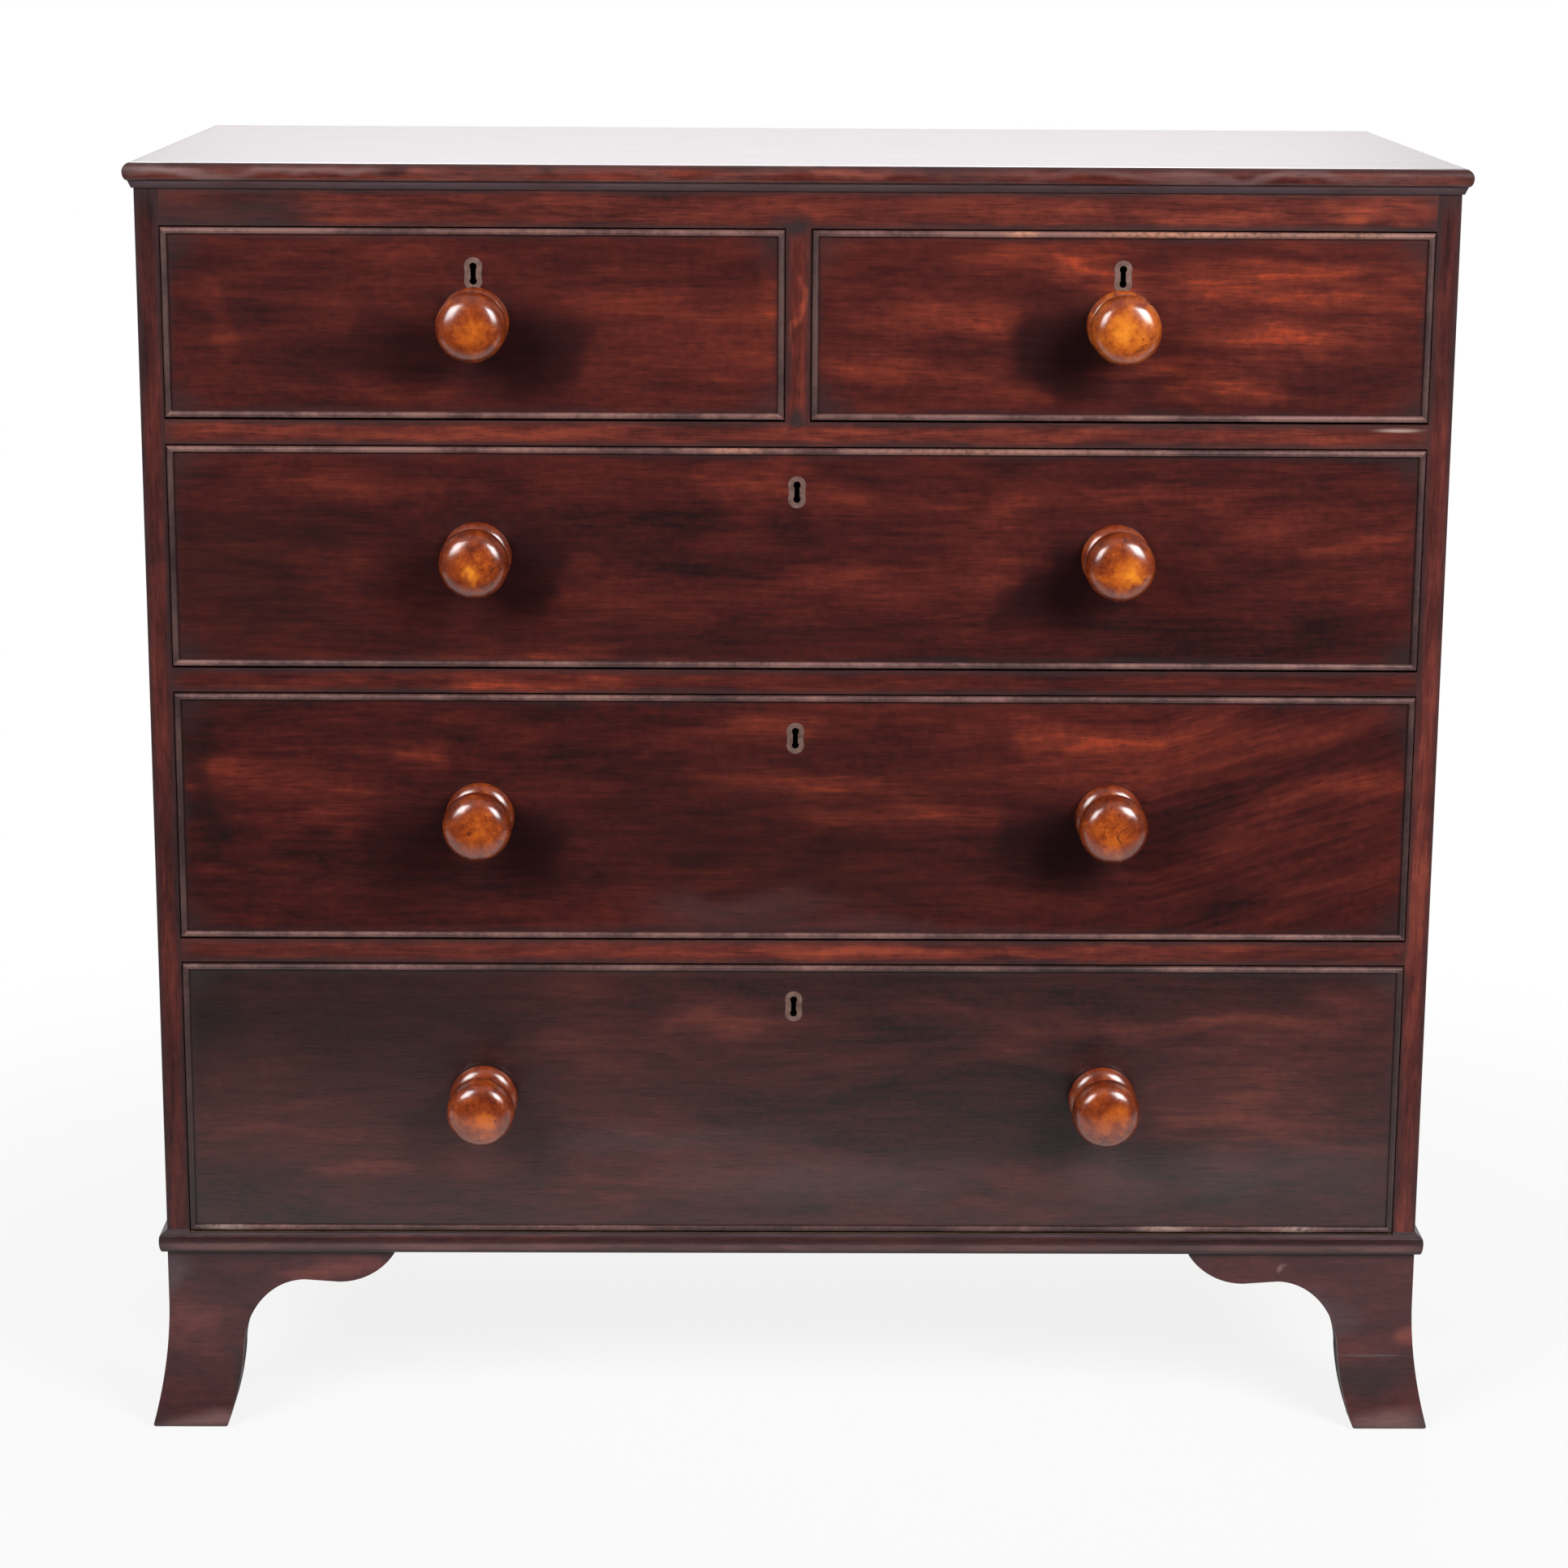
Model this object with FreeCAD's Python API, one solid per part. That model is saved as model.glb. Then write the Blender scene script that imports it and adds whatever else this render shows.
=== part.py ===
# Chest of drawers: two short drawers over three long ones, on splayed bracket feet.
# Millimetres, +X to the right, +Y to the back, +Z up.
# The origin is on the floor, under the middle of the overall box.

import FreeCAD
import Part
import math
import os

Vector = FreeCAD.Vector

# Carcase
carcase_width = 1040.0
carcase_depth = 488.0
foot_height = 152.0
side_thickness = 19.0
side_arris_radius = 1.5
bottom_thickness = 16.5
bottom_rebate_depth = 9.0
back_thickness = 12.0
back_rebate_width = 9.0
back_board_count = 5
back_board_gap = 0.6

# Drawer openings, from the floor board up to the top rail
lower_opening_height = 233.0
middle_opening_height = 206.0
upper_opening_height = 181.0
short_opening_height = 152.5

# Rails, divider and runners
rail_thickness = 19.5
rail_depth = 60.0
top_rail_height = 29.0
housing_depth = 6.0
housing_setback = 12.0
divider_width = 20.0
divider_point = 5.0
runner_width = 25.0
centre_runner_width = 64.0
guide_height = 22.0
kicker_width = 26.0
stop_width = 42.0
stop_depth = 22.0
stop_height = 6.0
stop_inset = 95.0

# Top board and its edge moulding
top_thickness = 20.0
top_overhang = 7.5
top_back_overhang = 8.0
nosing_height = 14.0
nosing_return = 3.5
under_strip_return = 6.0

# Base moulding
moulding_projection = 6.2
moulding_rise = 2.0
moulding_slope_height = 3.7
moulding_slope_return = 1.2
moulding_nose_drop = 5.5
moulding_toe_return = 3.5

# Splayed bracket feet, reaches measured inwards from the carcase face
facing_thickness = 20.0
foot_splay = 14.0
foot_waist_height = 112.0
foot_toe_radius = 3.0
foot_heel_reach = 48.5
foot_heel_radius = 4.5
foot_leg_bow = 2.0
foot_leg_reach = 61.5
foot_leg_height = 64.0
bracket_cove_reach = 114.0
bracket_cove_height = 126.5
bracket_lobe_reach = 142.0
bracket_lobe_height = 124.5
bracket_tip_reach = 190.0
bracket_lobe_bulge = 8.5
rear_bracket_thickness = 18.0
rear_bracket_top_reach = 150.0
rear_bracket_toe_reach = 60.0
rear_bracket_lip = 25.0
corner_block_size = 26.0
corner_block_lift = 4.0
strip_block_size = 18.0
strip_block_length = 62.0

# Drawer boxes
front_thickness = 22.0
front_side_gap = 0.8
front_top_gap = 1.2
front_bottom_gap = 1.8
running_gap = 0.2
drawer_side_thickness = 10.0
drawer_side_drop = 5.0
drawer_back_thickness = 10.0
drawer_back_drop = 6.0
drawer_rear_space = 14.0
panel_thickness = 7.0
panel_height = 10.0
panel_tongue = 5.0
tail_length = 11.0
tail_pitch = 44.0
tail_share = 0.68
tail_slope = 0.14

# Cockbeads around the drawer fronts
bead_thickness = 5.2
bead_seat = 9.0
bead_projection = 3.0

# Turned knobs
knob_spacing = 510.0
knob_raise = 2.0
knob_projection = 58.0
knob_radius = 27.7
knob_waist = 40.5
knob_fullness = 0.76
knob_throat_radius = 15.0
knob_throat = 26.0
collar_radius = 27.8
collar_foot_radius = 22.0
collar_waist = 5.5
collar_thickness = 14.0
shank_radius = 8.0
shank_fit = 0.1

# Drawer locks, keyholes and escutcheons
lock_plate_width = 78.0
lock_case_width = 58.0
lock_height = 56.0
lock_depth = 11.0
lock_plate_thickness = 2.0
bolt_width = 22.0
bolt_thickness = 5.0
bolt_height = 18.0
bolt_sink = 0.5
bolt_gap = 0.4
bolt_setback = 3.0
bolt_travel = 8.0
mortise_gap = 1.0
keyhole_drop = 36.5
keyhole_spread = 5.7
keyhole_eye_radius = 2.9
keyhole_slot_width = 4.2
keyhole_depth = 4.0
escutcheon_lobe_radius = 7.1
escutcheon_waist_angle = 20.0
escutcheon_depth = 4.0
escutcheon_proud = 0.3
screw_inset = 5.0
screw_margin = 12.0
screw_head_radius = 3.0
screw_shank_radius = 1.5
screw_length = 10.0
screw_fit = 0.05

# Places worked out from the sizes above
half_width = carcase_width / 2
inner_face = half_width - side_thickness
overall_depth = knob_projection + carcase_depth + top_back_overhang
y_front = knob_projection - overall_depth / 2
y_back = y_front + carcase_depth
y_back_boards = y_back - back_thickness
y_rail_back = y_front + rail_depth
z_carcase = foot_height
z_floor_board = z_carcase + bottom_thickness
z_moulding = z_floor_board + moulding_rise
lower_opening = (z_floor_board, z_floor_board + lower_opening_height)
z_rail_lower = lower_opening[1]
middle_opening = (z_rail_lower + rail_thickness, z_rail_lower + rail_thickness + middle_opening_height)
z_rail_middle = middle_opening[1]
upper_opening = (z_rail_middle + rail_thickness, z_rail_middle + rail_thickness + upper_opening_height)
z_rail_upper = upper_opening[1]
short_opening = (z_rail_upper + rail_thickness, z_rail_upper + rail_thickness + short_opening_height)
z_top_rail = short_opening[1]
z_top_board = z_top_rail + top_rail_height
z_top = z_top_board + top_thickness

# A quarter of an ellipse drawn as a cubic curve has its handles at this share of its radius
ROUND = 0.5523

AXES = {"x": Vector(1, 0, 0), "y": Vector(0, 1, 0), "z": Vector(0, 0, 1)}


def box(x_low, x_high, y_low, y_high, z_low, z_high):
    """Return a box from its six limits."""
    corner = Vector(x_low, y_low, z_low)
    return Part.makeBox(x_high - x_low, y_high - y_low, z_high - z_low, corner)


def in_space(point, axis):
    """Return a 2-D point on the plane through the origin that an axis stands on."""
    u, v = point
    if axis == "x":
        return Vector(0, u, v)
    if axis == "y":
        return Vector(u, 0, v)
    return Vector(u, v, 0)


def line(end):
    """Return a step along a straight line."""
    return ("line", end)


def arc(middle, end):
    """Return a step along a circular arc."""
    return ("arc", middle, end)


def quarter(end, leaves_along, fullness=ROUND):
    """Return a step along a quarter ellipse, or a fuller curve, that leaves along u or v."""
    return ("quarter", end, leaves_along, fullness)


def outline(start, steps, axis):
    """Return the closed wire that runs from a start through 2-D steps."""
    here = start
    edges = []
    for step in steps + [line(start)]:
        kind = step[0]
        if kind == "arc":
            end = step[2]
            ends = [in_space(point, axis) for point in (here, step[1], end)]
            edges.append(Part.Arc(*ends).toShape())
        elif kind == "quarter":
            end = step[1]
            across = (step[3] * (end[0] - here[0]), step[3] * (end[1] - here[1]))
            if step[2] == "u":
                handles = [(here[0] + across[0], here[1]), (end[0], end[1] - across[1])]
            else:
                handles = [(here[0], here[1] + across[1]), (end[0] - across[0], end[1])]
            curve = Part.BezierCurve()
            curve.setPoles([in_space(point, axis) for point in [here] + handles + [end]])
            edges.append(curve.toShape())
        else:
            end = step[1]
            if math.dist(here, end) > Part.Precision.confusion():
                edges.append(Part.makeLine(in_space(here, axis), in_space(end, axis)))
        here = end
    return Part.Wire(edges)


def prism(start, steps, axis, low, high):
    """Return an outline extruded along an axis between two places on it."""
    face = Part.Face(outline(start, steps, axis))
    face.translate(AXES[axis] * low)
    solid = face.extrude(AXES[axis] * (high - low))
    if solid.Volume < 0:
        solid.reverse()
    return solid


def polygon(points, axis, low, high):
    """Return a prism with straight sides."""
    return prism(points[0], [line(point) for point in points[1:]], axis, low, high)


def turned(start, steps, centre):
    """Return a (radius, y) outline turned about the line along Y through a centre."""
    face = Part.Face(outline(start, steps, "z"))
    solid = face.revolve(Vector(0, 0, 0), AXES["y"], 360)
    if solid.Volume < 0:
        solid.reverse()
    solid.translate(centre)
    return solid


def joined(shapes):
    """Return shapes fused into one, with their flush faces merged."""
    return shapes[0].multiFuse(shapes[1:]).removeSplitter()


def mirrored(shape):
    """Return the same shape on the other side of the chest."""
    return shape.mirror(Vector(0, 0, 0), AXES["x"])


def top_edge(outward, sign):
    """Return the top board's moulded edge as a start and steps, from its upper face down."""

    def at(inset, below):
        return (outward - sign * inset, z_top - below)

    nose = nosing_height / 2
    steps = [
        quarter(at(0, nose), "u"),
        quarter(at(nosing_return, nosing_height), "v"),
        line(at(under_strip_return, top_thickness)),
    ]
    return at(nose, 0), steps


def make_top():
    """Return the top board, moulded along its front and sides."""
    front = y_front - top_overhang
    back = y_back + top_back_overhang
    side = half_width + top_overhang
    start, steps = top_edge(front, -1)
    steps = steps + [line((back, z_top_board)), line((back, z_top))]
    across = prism(start, steps, "x", -side, side)
    start, steps = top_edge(side, 1)
    steps = steps + [line((0, z_top_board)), line((0, z_top))]
    half = prism(start, steps, "y", front, back)
    along = joined([half, mirrored(half)])
    return across.common(along).removeSplitter()


def make_side():
    """Return the right-hand side with its housings and rebates."""
    board = box(inner_face, half_width, y_front, y_back, z_carcase, z_top_board)
    arris = []
    for edge in board.Edges:
        ends = [vertex.Point for vertex in edge.Vertexes]
        if all(abs(end.x - half_width) + abs(end.y - y_front) < side_arris_radius for end in ends):
            arris.append(edge)
    board = board.makeFillet(side_arris_radius, arris)
    housing_start = y_front + housing_setback
    housing_end = inner_face + housing_depth
    cuts = []
    for level in (z_rail_lower, z_rail_middle, z_rail_upper):
        level_top = level + rail_thickness
        cuts.append(box(inner_face, housing_end, housing_start, y_back_boards, level, level_top))
    cuts.append(box(inner_face, housing_end, housing_start, y_rail_back, z_top_rail, z_top_board))
    bottom_end = inner_face + bottom_rebate_depth
    cuts.append(box(inner_face, bottom_end, y_front + housing_setback, y_back_boards, z_carcase, z_floor_board))
    rebate_end = inner_face + back_rebate_width
    cuts.append(box(inner_face, rebate_end, y_back_boards, y_back, z_carcase, z_top_board))
    return board.cut(cuts).removeSplitter()


def make_bottom_board():
    """Return the bottom board, let into the sides behind their front edges."""
    between = box(-inner_face, inner_face, y_front, y_back_boards, z_carcase, z_floor_board)
    reach = inner_face + bottom_rebate_depth
    let_in = box(-reach, reach, y_front + housing_setback, y_back_boards, z_carcase, z_floor_board)
    return joined([between, let_in])


def make_back_boards():
    """Return the upright boards that close the back."""
    reach = inner_face + back_rebate_width
    pitch = (2 * reach + back_board_gap) / back_board_count
    boards = []
    for index in range(back_board_count):
        left = -reach + index * pitch
        boards.append(box(left, left + pitch - back_board_gap, y_back_boards, y_back, z_carcase, z_top_board))
    return boards


def make_rail(z_low, z_high):
    """Return a rail between the sides with a stub at each end."""
    bar = box(-inner_face, inner_face, y_front, y_rail_back, z_low, z_high)
    reach = inner_face + housing_depth
    stubs = box(-reach, reach, y_front + housing_setback, y_rail_back, z_low, z_high)
    return joined([bar, stubs])


def make_divider():
    """Return the upright between the short drawers, pointed into both rails."""
    low, high = short_opening
    half = divider_width / 2
    points = [
        (-half, low),
        (0, low - divider_point),
        (half, low),
        (half, high),
        (0, high + divider_point),
        (-half, high),
    ]
    return polygon(points, "y", y_front, y_rail_back)


def make_side_runners():
    """Return the strips behind the rails that carry the drawers."""
    strips = []
    for level in (z_rail_lower, z_rail_middle, z_rail_upper):
        right = box(
            inner_face - runner_width,
            inner_face + housing_depth,
            y_rail_back,
            y_back_boards,
            level,
            level + rail_thickness,
        )
        strips += [mirrored(right), right]
    return strips


def make_centre_runner():
    """Return the runner between the short drawers and the guide on top of it."""
    runner_half = centre_runner_width / 2
    guide_half = divider_width / 2
    z_guide = short_opening[0]
    runner = box(-runner_half, runner_half, y_rail_back, y_back_boards, z_rail_upper, z_guide)
    guide = box(-guide_half, guide_half, y_rail_back, y_back_boards, z_guide, z_guide + guide_height)
    return [runner, guide]


def make_kickers():
    """Return the strips under the top that keep the short drawers level."""
    right = box(inner_face - kicker_width, inner_face, y_rail_back, y_back_boards, z_top_rail, z_top_board)
    half = centre_runner_width / 2
    centre = box(-half, half, y_rail_back, y_back_boards, z_top_rail, z_top_board)
    return [mirrored(right), centre, right]


def moulding_edge(face, sign):
    """Return the base moulding's edge as a start and steps, from its upper line down."""

    def at(out, z):
        return (face + sign * out, z)

    z_slope_foot = z_moulding - moulding_slope_height
    steps = [
        line(at(moulding_projection - moulding_slope_return, z_slope_foot)),
        quarter(at(moulding_projection, z_slope_foot - moulding_nose_drop), "u"),
        quarter(at(moulding_toe_return, z_carcase), "v"),
    ]
    return at(0, z_moulding), steps


def make_base_moulding():
    """Return the front moulding, cut down under the lowest drawer, and its two mitred returns."""
    reach = half_width + moulding_projection
    front = y_front - moulding_projection
    start, steps = moulding_edge(y_front, -1)
    steps = steps + [line((y_back, z_carcase)), line((y_back, z_moulding))]
    across = prism(start, steps, "x", -reach, reach)
    start, steps = moulding_edge(half_width, 1)
    steps = steps + [line((0, z_carcase)), line((0, z_moulding))]
    half = prism(start, steps, "y", front, y_back)
    along = joined([half, mirrored(half)])
    core = box(-half_width, half_width, y_front, y_back, z_carcase, z_moulding)
    ring = across.common(along).cut(core)
    wedge_points = [(-reach, front), (reach, front), (half_width, y_front), (-half_width, y_front)]
    wedge = polygon(wedge_points, "z", z_carcase, z_moulding)
    drawer_way = box(-inner_face, inner_face, front, y_front, z_floor_board, z_moulding)
    front_strip = ring.common(wedge).cut(drawer_way)
    returns = ring.cut(wedge)
    return front_strip.Solids + returns.Solids


def splay_steps(face, sign):
    """Return the steps of a foot's splayed face, from the waist to the floor."""
    drop = foot_waist_height
    radius = (drop * drop + foot_splay * foot_splay) / (2 * foot_splay)
    half_angle = math.asin(drop / radius) / 2
    middle_out = radius * (1 - math.cos(half_angle))
    middle_drop = radius * math.sin(half_angle)
    middle = (face + sign * middle_out, foot_waist_height - middle_drop)
    toe = foot_splay - foot_toe_radius
    return [
        line((face, foot_waist_height)),
        arc(middle, (face + sign * foot_splay, foot_toe_radius)),
        quarter((face + sign * toe, 0), "v"),
    ]


def bracket_steps(face, sign):
    """Return the steps of a foot's inner edge, from the toe up to the bracket's tip."""

    def at(reach, height):
        return (face - sign * reach, height)

    leg_reach = (foot_heel_reach + foot_leg_reach) / 2 + foot_leg_bow
    leg_height = (foot_heel_radius + foot_leg_height) / 2
    lobe_reach = (bracket_tip_reach + bracket_lobe_reach) / 2
    lobe_height = (foot_height + bracket_lobe_height) / 2 - bracket_lobe_bulge
    return [
        line(at(foot_heel_reach - foot_heel_radius, 0)),
        quarter(at(foot_heel_reach, foot_heel_radius), "u"),
        arc(at(leg_reach, leg_height), at(foot_leg_reach, foot_leg_height)),
        quarter(at(bracket_cove_reach, bracket_cove_height), "v"),
        line(at(bracket_lobe_reach, bracket_lobe_height)),
        arc(at(lobe_reach, lobe_height), at(bracket_tip_reach, foot_height)),
    ]


def make_front_foot():
    """Return the right-hand front foot: two splayed facings mitred at the corner."""
    far = half_width + foot_splay
    near = half_width - bracket_tip_reach
    y_far = y_front - foot_splay
    y_near = y_front + bracket_tip_reach
    start = (half_width, foot_height)
    front_view = prism(start, splay_steps(half_width, 1) + bracket_steps(half_width, 1), "y", y_far, y_near)
    start = (y_front, foot_height)
    side_view = prism(start, splay_steps(y_front, -1) + bracket_steps(y_front, -1), "x", near, far)
    front_skin_back = y_front + facing_thickness
    front_back = [line((front_skin_back, 0)), line((front_skin_back, foot_height))]
    front_skin = prism(start, splay_steps(y_front, -1) + front_back, "x", near, far)
    start = (half_width, foot_height)
    side_skin_back = half_width - facing_thickness
    side_back = [line((side_skin_back, 0)), line((side_skin_back, foot_height))]
    side_skin = prism(start, splay_steps(half_width, 1) + side_back, "y", y_far, y_near)
    mitre_points = [(far, y_far), (far - (y_near - y_far), y_near), (near - far, y_near), (near - far, y_far)]
    mitre = polygon(mitre_points, "z", 0, foot_height)
    front_facing = front_view.common(front_skin).common(mitre)
    side_facing = side_view.common(side_skin).cut(mitre)
    return [front_facing, side_facing]


def make_rear_foot():
    """Return the right-hand rear foot: a splayed side facing and a plain bracket across the back."""
    far = half_width + foot_splay
    near = half_width - facing_thickness
    start = (y_back, foot_height)
    side_view = prism(start, [line((y_back, 0))] + bracket_steps(y_back, 1), "x", near, far)
    start = (half_width, foot_height)
    side_back = [line((near, 0)), line((near, foot_height))]
    side_skin = prism(start, splay_steps(half_width, 1) + side_back, "y", y_back - bracket_tip_reach, y_back)
    side_facing = side_view.common(side_skin)
    points = [
        (near, 0),
        (near, foot_height),
        (near - rear_bracket_top_reach, foot_height),
        (near - rear_bracket_top_reach, foot_height - rear_bracket_lip),
        (near - rear_bracket_toe_reach, 0),
    ]
    bracket = polygon(points, "y", y_back - rear_bracket_thickness, y_back)
    return [side_facing, bracket]


def make_foot_blocks():
    """Return the glue blocks behind the feet, upright in the corners and flat behind the brackets."""
    x_high = half_width - facing_thickness
    x_low = x_high - corner_block_size
    strip_x = x_low - strip_block_length
    strip_low = foot_height - strip_block_size
    blocks = []
    for y_face, sign in ((y_front + facing_thickness, 1), (y_back - rear_bracket_thickness, -1)):
        corner = sorted((y_face, y_face + sign * corner_block_size))
        blocks.append(box(x_low, x_high, corner[0], corner[1], corner_block_lift, foot_height))
        flat = sorted((y_face, y_face + sign * strip_block_size))
        blocks.append(box(strip_x, x_low, flat[0], flat[1], strip_low, foot_height))
        corner_end = y_face + sign * corner_block_size
        along = sorted((corner_end, corner_end + sign * strip_block_length))
        blocks.append(box(x_high - strip_block_size, x_high, along[0], along[1], strip_low, foot_height))
    return [mirrored(block) for block in blocks] + blocks


def tails(z_low, z_high, y_narrow, y_wide, x_low, x_high):
    """Return a row of dovetails between two heights, shared out evenly."""
    count = max(2, round((z_high - z_low) / tail_pitch))
    pitch = (z_high - z_low) / count
    flare = tail_slope * abs(y_wide - y_narrow)
    shapes = []
    for index in range(count):
        middle = z_low + (index + 0.5) * pitch
        wide = tail_share * pitch / 2
        narrow = wide - flare
        points = [
            (y_narrow, middle - narrow),
            (y_narrow, middle + narrow),
            (y_wide, middle + wide),
            (y_wide, middle - wide),
        ]
        shapes.append(polygon(points, "x", x_low, x_high))
    return shapes


def keyhole_outline(eye_radius, waist_half, x, z):
    """Return a keyhole as a start and steps: two round ends and a straight waist."""
    high = z + keyhole_spread
    low = z - keyhole_spread
    turn = math.sqrt(eye_radius * eye_radius - waist_half * waist_half)
    start = (x + waist_half, high - turn)
    steps = [
        arc((x, high + eye_radius), (x - waist_half, high - turn)),
        line((x - waist_half, low + turn)),
        arc((x, low - eye_radius), (x + waist_half, low + turn)),
    ]
    return start, steps


def make_cockbeads(x_low, x_high, z_low, z_high):
    """Return the four mitred beads around a drawer front."""
    y_nose = y_front - bead_projection
    y_spring = y_nose + bead_thickness / 2
    y_seat = y_front + bead_seat
    beads = []
    for z_out, z_in in ((z_high, z_high - bead_thickness), (z_low, z_low + bead_thickness)):
        middle = (z_out + z_in) / 2
        steps = [line((y_spring, z_out)), arc((y_nose, middle), (y_spring, z_in)), line((y_seat, z_in))]
        strip = prism((y_seat, z_out), steps, "x", x_low, x_high)
        points = [(x_low, z_out), (x_high, z_out), (x_high - bead_thickness, z_in), (x_low + bead_thickness, z_in)]
        beads.append(strip.common(polygon(points, "y", y_nose, y_seat)))
    for x_out, x_in in ((x_low, x_low + bead_thickness), (x_high, x_high - bead_thickness)):
        middle = (x_out + x_in) / 2
        steps = [line((x_out, y_spring)), arc((middle, y_nose), (x_in, y_spring)), line((x_in, y_seat))]
        strip = prism((x_out, y_seat), steps, "z", z_low, z_high)
        points = [(x_out, z_low), (x_out, z_high), (x_in, z_high - bead_thickness), (x_in, z_low + bead_thickness)]
        beads.append(strip.common(polygon(points, "y", y_nose, y_seat)))
    return beads


def make_knob(x, z):
    """Return a turned knob with its shank through the drawer front."""
    steps = [
        line((shank_radius, front_thickness)),
        line((shank_radius, 0)),
        line((collar_foot_radius, 0)),
        quarter((collar_radius, -collar_waist), "u"),
        quarter((knob_throat_radius, -collar_thickness), "v"),
        line((knob_throat_radius, -knob_throat)),
        quarter((knob_radius, -knob_waist), "u"),
        quarter((0, -knob_projection), "v", knob_fullness),
    ]
    return turned((0, front_thickness), steps, Vector(x, y_front, z))


def make_screw(x, z, fit):
    """Return a countersunk lock screw, driven forwards from the back of a drawer front."""
    head = screw_head_radius + fit
    shank = screw_shank_radius + fit
    y_head = y_front + front_thickness
    steps = [
        line((head, 0)),
        line((shank, -lock_plate_thickness)),
        line((shank, -screw_length - fit)),
        line((0, -screw_length - fit)),
    ]
    return turned((0, 0), steps, Vector(x, y_head, z))


def bolt_box(x, z_edge, margin, z_low, z_high):
    """Return the space of a lock bolt with a margin around it."""
    y_high = y_front + front_thickness - bolt_setback
    half = bolt_width / 2 + margin
    return box(x - half, x + half, y_high - bolt_thickness - margin, y_high + margin, z_edge + z_low, z_edge + z_high)


def bolt_mortise(x, z_opening_top):
    """Return the mortise that a thrown bolt enters above a drawer."""
    depth = bolt_travel - bolt_sink - front_top_gap + mortise_gap
    return bolt_box(x, z_opening_top, mortise_gap, 0, depth)


def make_lock(x, z_edge):
    """Return a lock, the bolt, the escutcheon with the screws, and what they take out of the front."""
    y_inside = y_front + front_thickness
    y_case = y_inside - lock_depth
    plate_half = lock_plate_width / 2
    case_half = lock_case_width / 2
    z_low = z_edge - lock_height
    y_plate = y_inside - lock_plate_thickness
    plate = box(x - plate_half, x + plate_half, y_plate, y_inside, z_low, z_edge)
    case = box(x - case_half, x + case_half, y_case, y_inside, z_low, z_edge)
    edge_plate = box(x - plate_half, x + plate_half, y_case, y_inside, z_edge - lock_plate_thickness, z_edge)
    blank = joined([plate, case, edge_plate])
    slot = bolt_box(x, z_edge, bolt_gap, -bolt_sink - bolt_height - bolt_gap, 0)
    bolt = bolt_box(x, z_edge, 0, -bolt_sink - bolt_height, -bolt_sink)
    z_key = z_edge + front_top_gap - keyhole_drop
    start, steps = keyhole_outline(keyhole_eye_radius, keyhole_slot_width / 2, x, z_key)
    key_way = prism(start, steps, "y", y_front - escutcheon_proud, y_case + keyhole_depth)
    waist_half = escutcheon_lobe_radius * math.cos(math.radians(escutcheon_waist_angle))
    start, steps = keyhole_outline(escutcheon_lobe_radius, waist_half, x, z_key)
    collar = prism(start, steps, "y", y_front - escutcheon_proud, y_front + escutcheon_depth)
    screws = []
    holes = []
    for screw_x in (x - plate_half + screw_inset, x + plate_half - screw_inset):
        for screw_z in (z_low + screw_margin, z_edge - screw_margin):
            screws.append(make_screw(screw_x, screw_z, 0))
            holes.append(make_screw(screw_x, screw_z, screw_fit))
    case = blank.cut([slot, key_way] + holes)
    return [case, collar.cut(key_way)] + screws, bolt, [blank, collar, key_way] + holes


def make_drawer(x_low, x_high, opening, knob_places):
    """Return a drawer's pieces by name."""
    left = x_low + front_side_gap
    right = x_high - front_side_gap
    z_front_low = opening[0] + front_bottom_gap
    z_front_high = opening[1] - front_top_gap
    z_side_low = opening[0] + running_gap
    z_side_high = z_front_high - drawer_side_drop
    y_inside = y_front + front_thickness
    y_rear = y_back_boards - drawer_rear_space
    y_back_face = y_rear - drawer_back_thickness
    z_panel = z_side_low + panel_height
    z_panel_top = z_panel + panel_thickness
    middle = (left + right) / 2
    left_inside = left + drawer_side_thickness
    right_inside = right - drawer_side_thickness
    panel = box(
        left_inside - panel_tongue,
        right_inside + panel_tongue,
        y_inside - panel_tongue,
        y_rear,
        z_panel,
        z_panel_top,
    )

    front_tails = []
    rear_tails = []
    sides = []
    z_back_high = z_side_high - drawer_back_drop
    for x_out, x_in in ((left, left_inside), (right_inside, right)):
        at_front = tails(z_side_low, z_side_high, y_inside, y_inside - tail_length, x_out, x_in)
        at_rear = tails(z_panel_top, z_back_high, y_back_face, y_rear, x_out, x_in)
        board = box(x_out, x_in, y_inside, y_rear, z_side_low, z_side_high)
        pins = box(x_out, x_in, y_back_face, y_rear, z_panel_top, z_back_high).cut(at_rear)
        side = joined([board] + at_front).cut([pins, panel]).removeSplitter()
        sides += side.Solids
        front_tails += at_front
        rear_tails += at_rear
    back = box(left, right, y_back_face, y_rear, z_panel_top, z_back_high).cut(rear_tails).removeSplitter()

    field = box(
        left + bead_thickness,
        right - bead_thickness,
        y_front,
        y_inside,
        z_front_low + bead_thickness,
        z_front_high - bead_thickness,
    )
    behind_beads = box(left, right, y_front + bead_seat, y_inside, z_front_low, z_front_high)
    z_knob = (opening[0] + opening[1]) / 2 + knob_raise
    shank_holes = []
    for place in knob_places:
        centre = Vector(place, y_front, z_knob)
        shank_holes.append(Part.makeCylinder(shank_radius + shank_fit, front_thickness, centre, AXES["y"]))
    lock, bolt, lock_cuts = make_lock(middle, z_front_high)
    front = joined([field, behind_beads]).cut(front_tails + [panel] + shank_holes + lock_cuts)
    return {
        "front": [front.removeSplitter()],
        "sides": sides,
        "back": [back],
        "bottom": [panel],
        "cockbeads": make_cockbeads(left, right, z_front_low, z_front_high),
        "knobs": [make_knob(place, z_knob) for place in knob_places],
        "lock": lock,
        "lock_bolt": [bolt],
    }


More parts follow.
